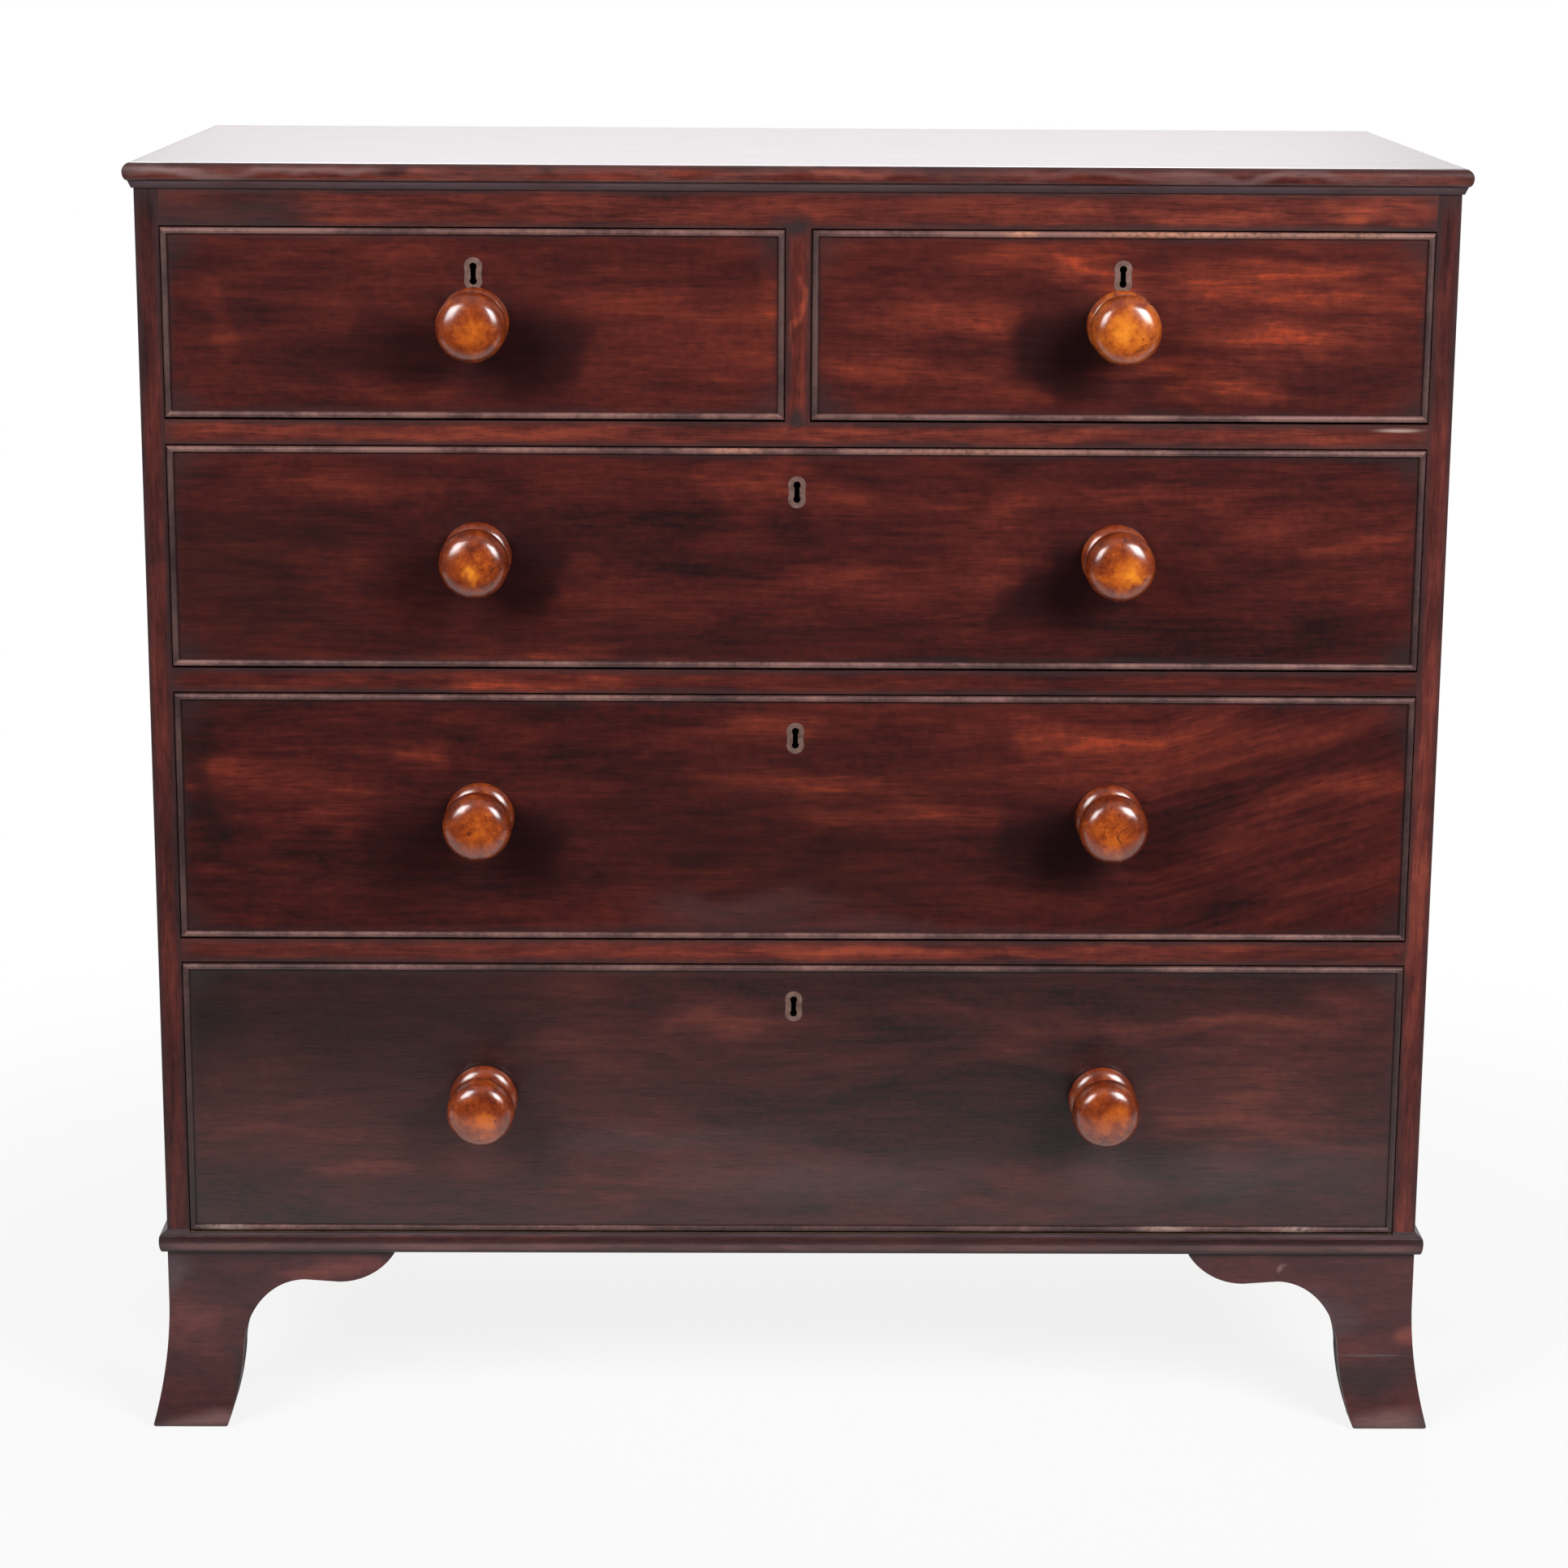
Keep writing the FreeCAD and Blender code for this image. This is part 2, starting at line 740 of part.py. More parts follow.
def make_stops(x_low, x_high, opening):
    """Return the two blocks behind a drawer front that stop the drawer flush."""
    y_low = y_front + front_thickness + running_gap
    stops = []
    for left in (x_low + stop_inset, x_high - stop_inset - stop_width):
        stops.append(box(left, left + stop_width, y_low, y_low + stop_depth, opening[0], opening[0] + stop_height))
    return stops


knob_x = knob_spacing / 2
divider_face = divider_width / 2
short_middle = (divider_face + inner_face) / 2
drawers = {
    "short_left_drawer": (-inner_face, -divider_face, short_opening, [-knob_x]),
    "short_right_drawer": (divider_face, inner_face, short_opening, [knob_x]),
    "upper_drawer": (-inner_face, inner_face, upper_opening, [-knob_x, knob_x]),
    "middle_drawer": (-inner_face, inner_face, middle_opening, [-knob_x, knob_x]),
    "lower_drawer": (-inner_face, inner_face, lower_opening, [-knob_x, knob_x]),
}

divider = make_divider()
short_mortises = [bolt_mortise(place, z_top_rail) for place in (-short_middle, short_middle)]
right_side = make_side()
front_foot = make_front_foot()
rear_foot = make_rear_foot()
stops = []
for x_low, x_high, opening, knob_places in drawers.values():
    stops += make_stops(x_low, x_high, opening)

nodes = {
    "top": [make_top()],
    "side_left": [mirrored(right_side)],
    "side_right": [right_side],
    "bottom_board": [make_bottom_board()],
    "back_boards": make_back_boards(),
    "top_rail": [make_rail(z_top_rail, z_top_board).cut([divider] + short_mortises)],
    "upper_rail": [make_rail(z_rail_upper, short_opening[0]).cut([divider, bolt_mortise(0, z_rail_upper)])],
    "middle_rail": [make_rail(z_rail_middle, upper_opening[0]).cut(bolt_mortise(0, z_rail_middle))],
    "lower_rail": [make_rail(z_rail_lower, middle_opening[0]).cut(bolt_mortise(0, z_rail_lower))],
    "drawer_divider": [divider],
    "side_runners": make_side_runners(),
    "centre_runner": make_centre_runner(),
    "kickers": make_kickers(),
    "drawer_stops": stops,
    "base_moulding": make_base_moulding(),
    "foot_front_left": [mirrored(piece) for piece in front_foot],
    "foot_front_right": front_foot,
    "foot_rear_left": [mirrored(piece) for piece in rear_foot],
    "foot_rear_right": rear_foot,
    "foot_blocks": make_foot_blocks(),
}
for name, (x_low, x_high, opening, knob_places) in drawers.items():
    for piece, solids in make_drawer(x_low, x_high, opening, knob_places).items():
        nodes[name + "_" + piece] = solids

os.makedirs("parts", exist_ok=True)
for name, solids in nodes.items():
    shape = solids[0] if len(solids) == 1 else Part.makeCompound(solids)
    shape.exportStep("parts/" + name + ".step")
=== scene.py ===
"""Looks of a mahogany chest of drawers: two short drawers over three long ones, on splayed bracket feet."""

import math
from typing import NamedTuple

import bmesh
import bpy
from mathutils import Matrix, Vector


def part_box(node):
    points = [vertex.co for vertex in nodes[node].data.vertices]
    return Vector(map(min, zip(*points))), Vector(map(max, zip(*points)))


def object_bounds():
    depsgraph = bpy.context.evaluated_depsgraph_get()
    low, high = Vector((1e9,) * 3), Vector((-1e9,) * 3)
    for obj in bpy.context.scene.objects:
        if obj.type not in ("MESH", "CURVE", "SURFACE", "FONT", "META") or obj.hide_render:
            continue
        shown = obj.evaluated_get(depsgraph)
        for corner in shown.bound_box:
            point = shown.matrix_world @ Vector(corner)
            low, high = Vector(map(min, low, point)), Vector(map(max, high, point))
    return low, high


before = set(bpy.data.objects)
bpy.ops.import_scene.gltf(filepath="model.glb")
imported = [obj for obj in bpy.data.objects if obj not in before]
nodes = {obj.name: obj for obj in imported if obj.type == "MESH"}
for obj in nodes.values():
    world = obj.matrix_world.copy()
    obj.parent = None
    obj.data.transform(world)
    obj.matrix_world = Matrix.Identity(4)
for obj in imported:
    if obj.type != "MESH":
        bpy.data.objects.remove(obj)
cad_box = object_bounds()

DRAWERS = ["short_left_drawer", "short_right_drawer", "upper_drawer", "middle_drawer", "lower_drawer"]
# Places of the three axes in a vector
X, Y, Z = range(3)
SAME_SIZE = (1.0, 1.0, 1.0)
UNMOVED = (0.0, 0.0, 0.0)
# Noise swings about this value
NOISE_MIDDLE = 0.5


class Shade:
    """One value, colour or vector in a material, with the maths that acts on it."""

    def __init__(self, tree, socket=None):
        self.tree = tree
        self.socket = socket

    def node(self, kind, settings=None, inputs=None, output=0):
        """Add a node, set it up, feed its sockets and return one of its outputs."""
        made = self.tree.nodes.new(kind)
        for key, setting in (settings or {}).items():
            if key == "stops":
                set_stops(made.color_ramp, setting)
            else:
                setattr(made, key, setting)
        for key, value in (inputs or {}).items():
            if isinstance(value, Shade):
                self.tree.links.new(value.socket, made.inputs[key])
            else:
                made.inputs[key].default_value = value
        return Shade(self.tree, made.outputs[output])

    def math(self, operation, first, second=0.0):
        """Work out one step of arithmetic."""
        return self.node("ShaderNodeMath", {"operation": operation}, {0: first, 1: second})

    def __add__(self, other):
        return self.math("ADD", self, other)

    __radd__ = __add__

    def __sub__(self, other):
        return self.math("SUBTRACT", self, other)

    def __rsub__(self, other):
        return self.math("SUBTRACT", other, self)

    def __mul__(self, other):
        return self.math("MULTIPLY", self, other)

    __rmul__ = __mul__

    def __abs__(self):
        return self.math("ABSOLUTE", self)

    def least(self, other):
        """Return the smaller of two values."""
        return self.math("MINIMUM", self, other)

    def most(self, other):
        """Return the larger of two values."""
        return self.math("MAXIMUM", self, other)

    def rise(self, low, high):
        """Go smoothly from 0 at low to 1 at high; low may be the larger."""
        inputs = {"Value": self, "From Min": low, "From Max": high}
        if low > high:
            inputs.update({"From Min": high, "From Max": low, "To Min": 1.0, "To Max": 0.0})
        return self.node("ShaderNodeMapRange", {"interpolation_type": "SMOOTHSTEP"}, inputs)

    def tint(self, stops):
        """Colour a value by stops of (place, colour)."""
        return self.node("ShaderNodeValToRGB", {"stops": stops}, {"Fac": self})

    def blend(self, colour, share, how="MIX"):
        """Mix a colour into this one, by the node's two colour sockets, 6 and 7, and its colour output."""
        inputs = {"Factor": share, 6: self, 7: (*colour, 1.0)}
        return self.node("ShaderNodeMix", {"data_type": "RGBA", "blend_type": how}, inputs, output=2)

    def stretch(self, scale, shift=UNMOVED, turn=UNMOVED):
        """Stretch, move and turn coordinates."""
        inputs = {"Vector": self, "Scale": scale, "Location": shift, "Rotation": turn}
        return self.node("ShaderNodeMapping", {}, inputs)

    def noise(self, scale=1.0, detail=3.0, roughness=0.5, distortion=0.0):
        """Return soft random values at these coordinates."""
        inputs = {"Vector": self, "Scale": scale, "Detail": detail}
        inputs.update({"Roughness": roughness, "Distortion": distortion})
        return self.node("ShaderNodeTexNoise", {}, inputs)

    def ragged(self, scale, reach):
        """Push coordinates about by the colour of a soft noise, read as a vector."""
        inputs = {"Vector": self, "Scale": scale, "Detail": 3.0}
        push = self.node("ShaderNodeTexNoise", {"normalize": False}, inputs, output=1)
        return self.node("ShaderNodeVectorMath", {"operation": "MULTIPLY_ADD"}, {0: push, 1: reach, 2: self})

    def part(self, axis):
        """Return X, Y or Z of a vector."""
        return self.node("ShaderNodeSeparateXYZ", {}, {"Vector": self}, output=axis)

    def parts(self):
        """Return X, Y and Z of a vector."""
        return [self.part(axis) for axis in (X, Y, Z)]

    def length(self):
        """Return the length of a vector."""
        return self.node("ShaderNodeVectorMath", {"operation": "LENGTH"}, {0: self}, output=1)

    def vector(self, x, y, z):
        """Join three values to a vector."""
        return self.node("ShaderNodeCombineXYZ", {}, {0: x, 1: y, 2: z})

    def spot(self, x, z, half_x, half_z, core=0.1, tilt=0.0):
        """Return 1 at a place on the front, falling softly to 0 at the rim of an ellipse."""
        moved = self.stretch(SAME_SIZE, (-x, 0.0, -z))
        if tilt:
            moved = moved.stretch(SAME_SIZE, turn=(0.0, tilt, 0.0))
        return moved.stretch((1.0 / half_x, 0.0, 1.0 / half_z)).length().rise(1.0, core)


def set_stops(ramp, stops):
    """Give a colour ramp its stops of (place, colour)."""
    while len(ramp.elements) < len(stops):
        ramp.elements.new(1.0)
    for element, (place, colour) in zip(ramp.elements, stops):
        element.position = place
        element.color = (*colour, 1.0)


def new_material(name):
    """Return a material, its Principled shader and its Object coordinates."""
    material = bpy.data.materials.new(name)
    material.use_nodes = True
    tree = material.node_tree
    here = Shade(tree).node("ShaderNodeTexCoord", output="Object")
    return material, tree.nodes["Principled BSDF"], here


def feed(shader, name, value):
    """Set or link one of a shader's sockets."""
    if isinstance(value, Shade):
        value.tree.links.new(value.socket, shader.inputs[name])
    else:
        shader.inputs[name].default_value = value


def bump(height, strength, depth):
    """Turn a height into a normal."""
    return height.node("ShaderNodeBump", {}, {"Height": height, "Strength": strength, "Distance": depth})


# How far apart along X, Y and Z the pieces' stretches of noise lie
SEED_STEPS = (1.7, 2.3, 3.1)


def seeded(seed):
    """Return a shift that gives each piece its own stretch of noise."""
    return tuple(seed * step for step in SEED_STEPS)


# Axes in the order along the grain, then across it
GRAIN_ORDER = {"x": (X, Y, Z), "y": (Y, X, Z), "z": (Z, Y, X)}
# How fine the parts of the figure are, along the grain and across it
SWAY_SCALE = (2.0, 6.0, 6.0)
BAND_SCALE = (2.2, 11.0, 11.0)
CLOUD_SCALE = (9.0, 34.0, 34.0)
STREAK_SCALE = (13.0, 190.0, 190.0)
FIBRE_SCALE = (55.0, 640.0, 640.0)
SWAY_REACH = 0.02
# Fibre values between which a pore opens
PORE_RANGE = (0.42, 0.3)


def figure(here, along, seed):
    """Return the broad bands, clouds, streaks and fibres of wood whose grain runs along one axis."""
    shift = seeded(seed)
    length, depth, width = (here.part(axis) for axis in GRAIN_ORDER[along])
    straight = here.vector(length, depth, width)
    sway = straight.stretch(SWAY_SCALE, shift).noise(detail=2.0) * SWAY_REACH
    bent = here.vector(length, depth + sway, width + sway)
    band = bent.stretch(BAND_SCALE, shift).noise(detail=2.0)
    cloud = bent.stretch(CLOUD_SCALE, shift).noise(roughness=0.6, distortion=0.6)
    streak = bent.stretch(STREAK_SCALE, shift).noise(roughness=0.6, distortion=0.4)
    fibre = bent.stretch(FIBRE_SCALE, shift).noise(detail=2.0, roughness=0.6)
    return band, cloud, streak, fibre


# Places of the tones of polished wood, from its dark to its light streaks
TONE_PLACES = (0.26, 0.44, 0.56, 0.72, 0.95)


def five_tones(*colours):
    """Give colours from dark to light their places among the tones."""
    return list(zip(TONE_PLACES, colours))


FRONT_TONES = five_tones((0.016, 0.006, 0.006), (0.046, 0.0095, 0.0085), (0.074, 0.0135, 0.0105),
                         (0.13, 0.023, 0.014), (0.36, 0.05, 0.018))
BROWN_TONES = five_tones((0.014, 0.0075, 0.0075), (0.038, 0.0115, 0.0108), (0.058, 0.0155, 0.0135),
                         (0.1, 0.025, 0.019), (0.2, 0.045, 0.025))
CASE_TONES = five_tones((0.026, 0.008, 0.008), (0.07, 0.0145, 0.0115), (0.112, 0.022, 0.0155),
                        (0.19, 0.037, 0.021), (0.34, 0.06, 0.024))
DIM_TONES = five_tones((0.015, 0.008, 0.01), (0.041, 0.0135, 0.0145), (0.062, 0.0185, 0.0185),
                       (0.105, 0.03, 0.027), (0.2, 0.048, 0.032))
SIDE_TONES = five_tones((0.02, 0.008, 0.008), (0.055, 0.0145, 0.013), (0.085, 0.02, 0.017),
                        (0.145, 0.033, 0.024), (0.26, 0.054, 0.028))

# Colours of dirt and wear, some of them also used for painted shade, painted knob shadows and painted
# reflection; a mark of GLOW brings out the wood's own bright streaks instead
GLOW = "glow"
GRIME_AND_SHADE = (0.026, 0.016, 0.017)
SLATE = (0.075, 0.051, 0.061)
DUST_AND_REFLECTION = (0.1, 0.075, 0.08)
SCUFF = (0.2, 0.115, 0.108)
CHIP = (0.36, 0.25, 0.21)
RUBBED = (0.42, 0.18, 0.11)
SOOT_AND_SHADE = (0.012, 0.007, 0.007)
PAINTED_KNOB_SHADOW = (0.015, 0.0048, 0.0055)
PAINTED_KEYWAY_SHADE = (0.0015, 0.001, 0.001)


class WoodLook(NamedTuple):
    """Tones of a polished piece, its grain's direction, and its depth of tone, streakiness and sheen."""

    tones: list
    along: str = "x"
    shade: float = 0.0
    streaks: float = 1.0
    sheen: float = 0.3


# Shares of the parts of the figure in the tone of polished wood
BAND_SHARE = 0.45
CLOUD_SHARE = 0.55
STREAK_SHARE = 0.45
FIBRE_SHARE = 0.25
MOTTLE_SHARE = 0.25


def wood_tone(look, band, cloud, streak, fibre, mottle):
    """Add up the figure of polished wood, its fine parts about their middle."""
    streak_share = STREAK_SHARE * look.streaks
    fibre_share = FIBRE_SHARE * look.streaks
    fine = streak * streak_share + fibre * fibre_share + mottle * MOTTLE_SHARE
    fine_middle = NOISE_MIDDLE * (streak_share + fibre_share + MOTTLE_SHARE)
    return band * BAND_SHARE + cloud * CLOUD_SHARE + fine + (look.shade - fine_middle)


# How much of the streaks and clouds a glowing place brings out
GLOW_STREAK = 0.2
GLOW_CLOUD = 0.25
GLOW_EVEN = 0.05


def glowing(tone, marks, worn, streak, cloud):
    """Lighten the tone along the glowing streaks among the marks."""
    for paint, mark_x, mark_z, half_x, half_z, share in marks:
        if paint is GLOW:
            figured = streak * GLOW_STREAK + cloud * GLOW_CLOUD + GLOW_EVEN
            tone = tone + worn.spot(mark_x, mark_z, half_x, half_z) * figured * share
    return tone


# Marks up to this half height keep a clean outline
THIN_MARK = 0.004


def marked(colour, marks, worn, here, kept):
    """Paint the marks of dirt and wear, where kept is 1."""
    for paint, mark_x, mark_z, half_x, half_z, share in marks:
        if paint is not GLOW:
            place = worn if half_z > THIN_MARK else here
            colour = colour.blend(paint, place.spot(mark_x, mark_z, half_x, half_z) * (share * kept))
    return colour


# Between these cloud values a band thins out, down to this share
PATCH_RANGE = (0.25, 0.65)
PATCH_LEAST = 0.4


def banded(colour, bands, z, mottle, cloud):
    """Paint level bands of dirt and wear along a moulding."""
    for paint, band_low, band_high, soft, share in bands:
        level = z + (mottle - NOISE_MIDDLE) * soft
        above = level.rise(band_low - soft, band_low + soft)
        below = level.rise(band_high + soft, band_high - soft)
        patches = cloud.rise(*PATCH_RANGE) * (1.0 - PATCH_LEAST) + PATCH_LEAST
        colour = colour.blend(paint, above * below * patches * share)
    return colour


def edge_distances(x, z, low, high):
    """Return how far a place lies from the nearer side, and from the upper or lower edge, of a piece."""
    return (x - low.x).least(high.x - x), (z - low.z).least(high.z - z)


# Grime and painted shade are full at a share of their reach from the edge, and go further into the corners
GRIME_FULL = 0.15
CORNER_REACH = 5.0
CORNER_WAVER = 2.0


def grime_and_shade_along_edges(x, z, low, high, cloud, reach):
    """Return the grime and painted shade along the edges of a piece and in its corners."""
    edge_x, edge_z = edge_distances(x, z, low, high)
    waver = (cloud - NOISE_MIDDLE) * reach
    along_edges = (edge_x.least(edge_z) + waver).rise(reach, reach * GRIME_FULL)
    in_corners = (edge_x + edge_z + waver * CORNER_WAVER).rise(reach * CORNER_REACH, reach)
    return along_edges.most(in_corners)


# Size of the painted shadow below a knob, and how far below the knob's middle it lies
KNOB_SHADOW_HALF = (0.062, 0.056)
KNOB_SHADOW_CORE = 0.3
KNOB_SHADOW_DROP = 0.02


def painted_knob_shadows(colour, knob_shadows, worn):
    """Paint the shadows that the knobs cast on the polish below them."""
    for knob_x, knob_z, shadow_spots in knob_shadows:
        for aside, share in shadow_spots:
            mask = worn.spot(knob_x + aside, knob_z - KNOB_SHADOW_DROP, *KNOB_SHADOW_HALF, KNOB_SHADOW_CORE)
            colour = colour.blend(PAINTED_KNOB_SHADOW, mask * share)
    return colour


# From their waist down, the front feet curve forwards from the plane of the case; their inner edges are raw,
# and darkened with painted shade
FOOT_WAIST = 0.112
FOOT_CURVE = 1.1
FOOT_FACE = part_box("side_right")[0].y
FOOT_INSIDE = 0.5
RAW_RANGE = (0.001, 0.003)
RAW_SIDE_SOFT = 0.003
RAW_DARK_AND_SHADE = 0.9
RAW_ROUGHNESS = 0.6


def raw_foot_edge(x, y, z):
    """Return 1 on the raw inner edges of the front feet."""
    drop = (FOOT_WAIST - z).most(0.0)
    behind_face = (y + drop * drop * FOOT_CURVE - FOOT_FACE).rise(*RAW_RANGE)
    return behind_face * abs(x).rise(FOOT_INSIDE + RAW_SIDE_SOFT, FOOT_INSIDE)


# Mottles, wear, pores, and grime with painted shade along the edges, in the polish
MOTTLE_SCALE = 150.0
WEAR_SCALE = 14.0
WEAR_REACH = (0.05, 0.0, 0.01)
PORE_SHARE = 0.35
CASE_GRIME = 0.006
FRONT_GRIME = 0.012
GRIME_AND_SHADE_SHARE = 0.6
# Roughness of the polish, and what streaks and grime add to it
POLISH_ROUGHNESS = 0.22
STREAK_ROUGHNESS = 0.1
GRIME_ROUGHNESS = 0.1
# Heights of the parts of the figure, and strength and depth of them all
FIBRE_HEIGHT = 0.5
STREAK_HEIGHT = 0.3
MOTTLE_HEIGHT = 0.2
PORE_HEIGHT = 0.4
RELIEF_STRENGTH = 0.2
RELIEF_DEPTH = 0.0004
# The upper face of the top is smoother than its edge and has more varnish
FACE_SOFT = 0.0004
FACE_FLATNESS = 0.94
EDGE_COAT = 0.1
FACE_COAT = 0.6
COAT_ROUGHNESS = 0.13


def mahogany(node, seed, look, marks=(), bands=(), knob_shadows=(), grime=CASE_GRIME, fan=None,
             raw_edge=False, smooth_above=None):
    """Return polished mahogany for one piece, with its own figure, marks, a border of grime and painted
    shade, painted knob shadows and a raw edge.
    """
    material, shader, here = new_material(node + "_finish")
    low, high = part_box(node)
    x, y, z = here.parts()
    grain = here
    if fan:
        start, slope = fan
        grain = here.vector(x, y, z - (x - start).most(0.0) * slope)
    band, cloud, streak, fibre = figure(grain, look.along, seed)
    mottle = here.stretch(SAME_SIZE, seeded(seed)).noise(MOTTLE_SCALE, roughness=0.65)
    pore = fibre.rise(*PORE_RANGE)
    worn = grain.ragged(WEAR_SCALE, WEAR_REACH)
    face = z.rise(smooth_above - FACE_SOFT, smooth_above) if smooth_above else 0.0
    tone = wood_tone(look, band, cloud, streak, fibre, mottle)
    colour = glowing(tone, marks, worn, streak, cloud).tint(look.tones)
    colour = marked(colour, marks, worn, here, 1.0 - face)
    colour = banded(colour, bands, z, mottle, cloud)
    # Grime with painted shade along the edges and in the corners
    edge_grime_and_shade = grime_and_shade_along_edges(x, z, low, high, cloud, grime)
    colour = colour.blend(GRIME_AND_SHADE, edge_grime_and_shade * GRIME_AND_SHADE_SHARE)
    # Painted shadows of the knobs on the polish below them
    colour = painted_knob_shadows(colour, knob_shadows, worn)
    colour = colour.blend(SOOT_AND_SHADE, pore * PORE_SHARE)
    rough = streak * STREAK_ROUGHNESS + edge_grime_and_shade * GRIME_ROUGHNESS + POLISH_ROUGHNESS
    relief = fibre * FIBRE_HEIGHT + streak * STREAK_HEIGHT + mottle * MOTTLE_HEIGHT - pore * PORE_HEIGHT
    if raw_edge:
        raw = raw_foot_edge(x, y, z)
        # The raw inner edges are darkened: raw wood and painted shade
        colour = colour.blend(SOOT_AND_SHADE, raw * RAW_DARK_AND_SHADE)
        rough = rough + raw * RAW_ROUGHNESS
    if smooth_above:
        relief = relief * (1.0 - face * FACE_FLATNESS)
        feed(shader, "Coat Weight", face * FACE_COAT + EDGE_COAT)
        feed(shader, "Coat Roughness", COAT_ROUGHNESS)
    feed(shader, "Base Color", colour)
    feed(shader, "Roughness", rough)
    feed(shader, "Specular IOR Level", look.sheen)
    feed(shader, "Normal", bump(relief, RELIEF_STRENGTH, RELIEF_DEPTH))
    return material


# Tones of the beads, shares of their patches and fibres, and fibre values at which a mark shows
BEAD_TONES = [(0.34, (0.026, 0.011, 0.01)), (0.48, (0.075, 0.031, 0.028)), (0.62, (0.18, 0.084, 0.072))]
BEAD_PATCH_SHARE = 0.75
BEAD_FIBRE_SHARE = 0.25
BEAD_MARK_RANGE = (0.25, 0.6)
# Painted shade lies behind the crown of a bead and darkens the upright beads
BEAD_WAVER = 0.002
BEAD_HOLLOW = (0.0012, 0.003)
BEAD_MITRE = (0.0, 0.0015)
UPRIGHT_PAINTED_SHADE = 0.75
BEAD_PAINTED_SHADE = 0.85
BEAD_ROUGHNESS = 0.32
BEAD_FIBRE_ROUGHNESS = 0.2
BEAD_FIBRE_HEIGHT = 0.5
BEAD_RELIEF_STRENGTH = 0.25


def bead_wood(node, seed, marks, shade):
    """Return the rubbed wood of the thin beads around a drawer front, with painted shade behind their crowns
    and on the upright beads.
    """
    material, shader, here = new_material(node + "_finish")
    low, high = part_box(node)
    x, y, z = here.parts()
    moved = here.stretch(SAME_SIZE, seeded(seed))
    patch = moved.noise(scale=14.0, detail=4.0, roughness=0.65)
    fibre = moved.noise(scale=260.0, roughness=0.6)
    colour = (patch * BEAD_PATCH_SHARE + fibre * BEAD_FIBRE_SHARE + shade).tint(BEAD_TONES)
    for paint, mark_x, mark_z, half_x, half_z, share in marks:
        mask = here.spot(mark_x, mark_z, half_x, half_z) * share
        colour = colour.blend(paint, mask * fibre.rise(*BEAD_MARK_RANGE))
    # Painted shade in the hollow behind the crown of each bead and on the upright beads
    shaded_hollow = (y - low.y + (patch - NOISE_MIDDLE) * BEAD_WAVER).rise(*BEAD_HOLLOW)
    edge_x, edge_z = edge_distances(x, z, low, high)
    upright = (edge_z - edge_x).rise(*BEAD_MITRE)
    colour = colour.blend(SOOT_AND_SHADE, shaded_hollow.most(upright * UPRIGHT_PAINTED_SHADE) * BEAD_PAINTED_SHADE)
    feed(shader, "Base Color", colour)
    feed(shader, "Roughness", fibre * BEAD_FIBRE_ROUGHNESS + BEAD_ROUGHNESS)
    feed(shader, "Normal", bump(fibre * BEAD_FIBRE_HEIGHT + patch, BEAD_RELIEF_STRENGTH, RELIEF_DEPTH))
    return material


# Turned wood of the knobs: its tones, its warm heart, and the dark flecks and cracks in it
KNOB_TONES = [(0.25, (0.06, 0.009, 0.003)), (0.4, (0.12, 0.017, 0.004)), (0.55, (0.22, 0.036, 0.006)),
              (0.7, (0.4, 0.085, 0.009)), (0.88, (0.58, 0.165, 0.015))]
YELLOW = (0.7, 0.22, 0.018)
EMBER = (0.5, 0.105, 0.009)
CRACK = (0.045, 0.01, 0.005)
KNOB_REACH = 0.027
HEART_SHARE = 0.2
WARM_REACH = KNOB_REACH * 2.0
WARM_CORE = 0.9
SWIRL_SHARE = 0.6
FLECK_SHARE = 0.4
KNOB_SHADE = -0.08
FLECK_STRETCH = (1.0, 0.4, 1.0)
FLECK_RANGE = (0.36, 0.26)
FLECK_DEPTH = 0.75
KNOB_WEAR_SCALE = 90.0
KNOB_WEAR_REACH = (0.005, 0.0, 0.005)
KNOB_ROUGHNESS = 0.17
FLECK_ROUGHNESS = 0.1
KNOB_SHEEN = 0.85
FLECK_HEIGHT = 0.3
KNOB_RELIEF_STRENGTH = 0.06
KNOB_RELIEF_DEPTH = 0.0006


class Knob(NamedTuple):
    """Place of one knob on its front, the warmth of its wood, and its marks."""

    x: float
    z: float
    warmth: float
    marks: list


def knob_wood(node, seed, knobs):
    """Return glossy turned wood for the knobs of one drawer."""
    material, shader, here = new_material(node + "_finish")
    moved = here.stretch(SAME_SIZE, seeded(seed))
    swirl = moved.noise(scale=42.0, roughness=0.55, distortion=1.2)
    fleck = moved.stretch(FLECK_STRETCH).noise(scale=240.0, roughness=0.65, distortion=0.6)
    worn = here.ragged(KNOB_WEAR_SCALE, KNOB_WEAR_REACH)
    tone = swirl * SWIRL_SHARE + fleck * FLECK_SHARE + KNOB_SHADE
    for knob in knobs:
        tone = tone + worn.spot(knob.x, knob.z, KNOB_REACH, KNOB_REACH, core=0.0) * HEART_SHARE
        tone = tone + here.spot(knob.x, knob.z, WARM_REACH, WARM_REACH, WARM_CORE) * knob.warmth
    colour = tone.tint(KNOB_TONES)
    for knob in knobs:
        for paint, aside, above, half_x, half_z, tilt, share in knob.marks:
            mask = worn.spot(knob.x + aside, knob.z + above, half_x, half_z, tilt=tilt)
            colour = colour.blend(paint, mask * share)
    colour = colour.blend(CRACK, fleck.rise(*FLECK_RANGE) * FLECK_DEPTH)
    feed(shader, "Base Color", colour)
    feed(shader, "Roughness", fleck * FLECK_ROUGHNESS + KNOB_ROUGHNESS)
    feed(shader, "Specular IOR Level", KNOB_SHEEN)
    feed(shader, "Normal", bump(swirl + fleck * FLECK_HEIGHT, KNOB_RELIEF_STRENGTH, KNOB_RELIEF_DEPTH))
    return material


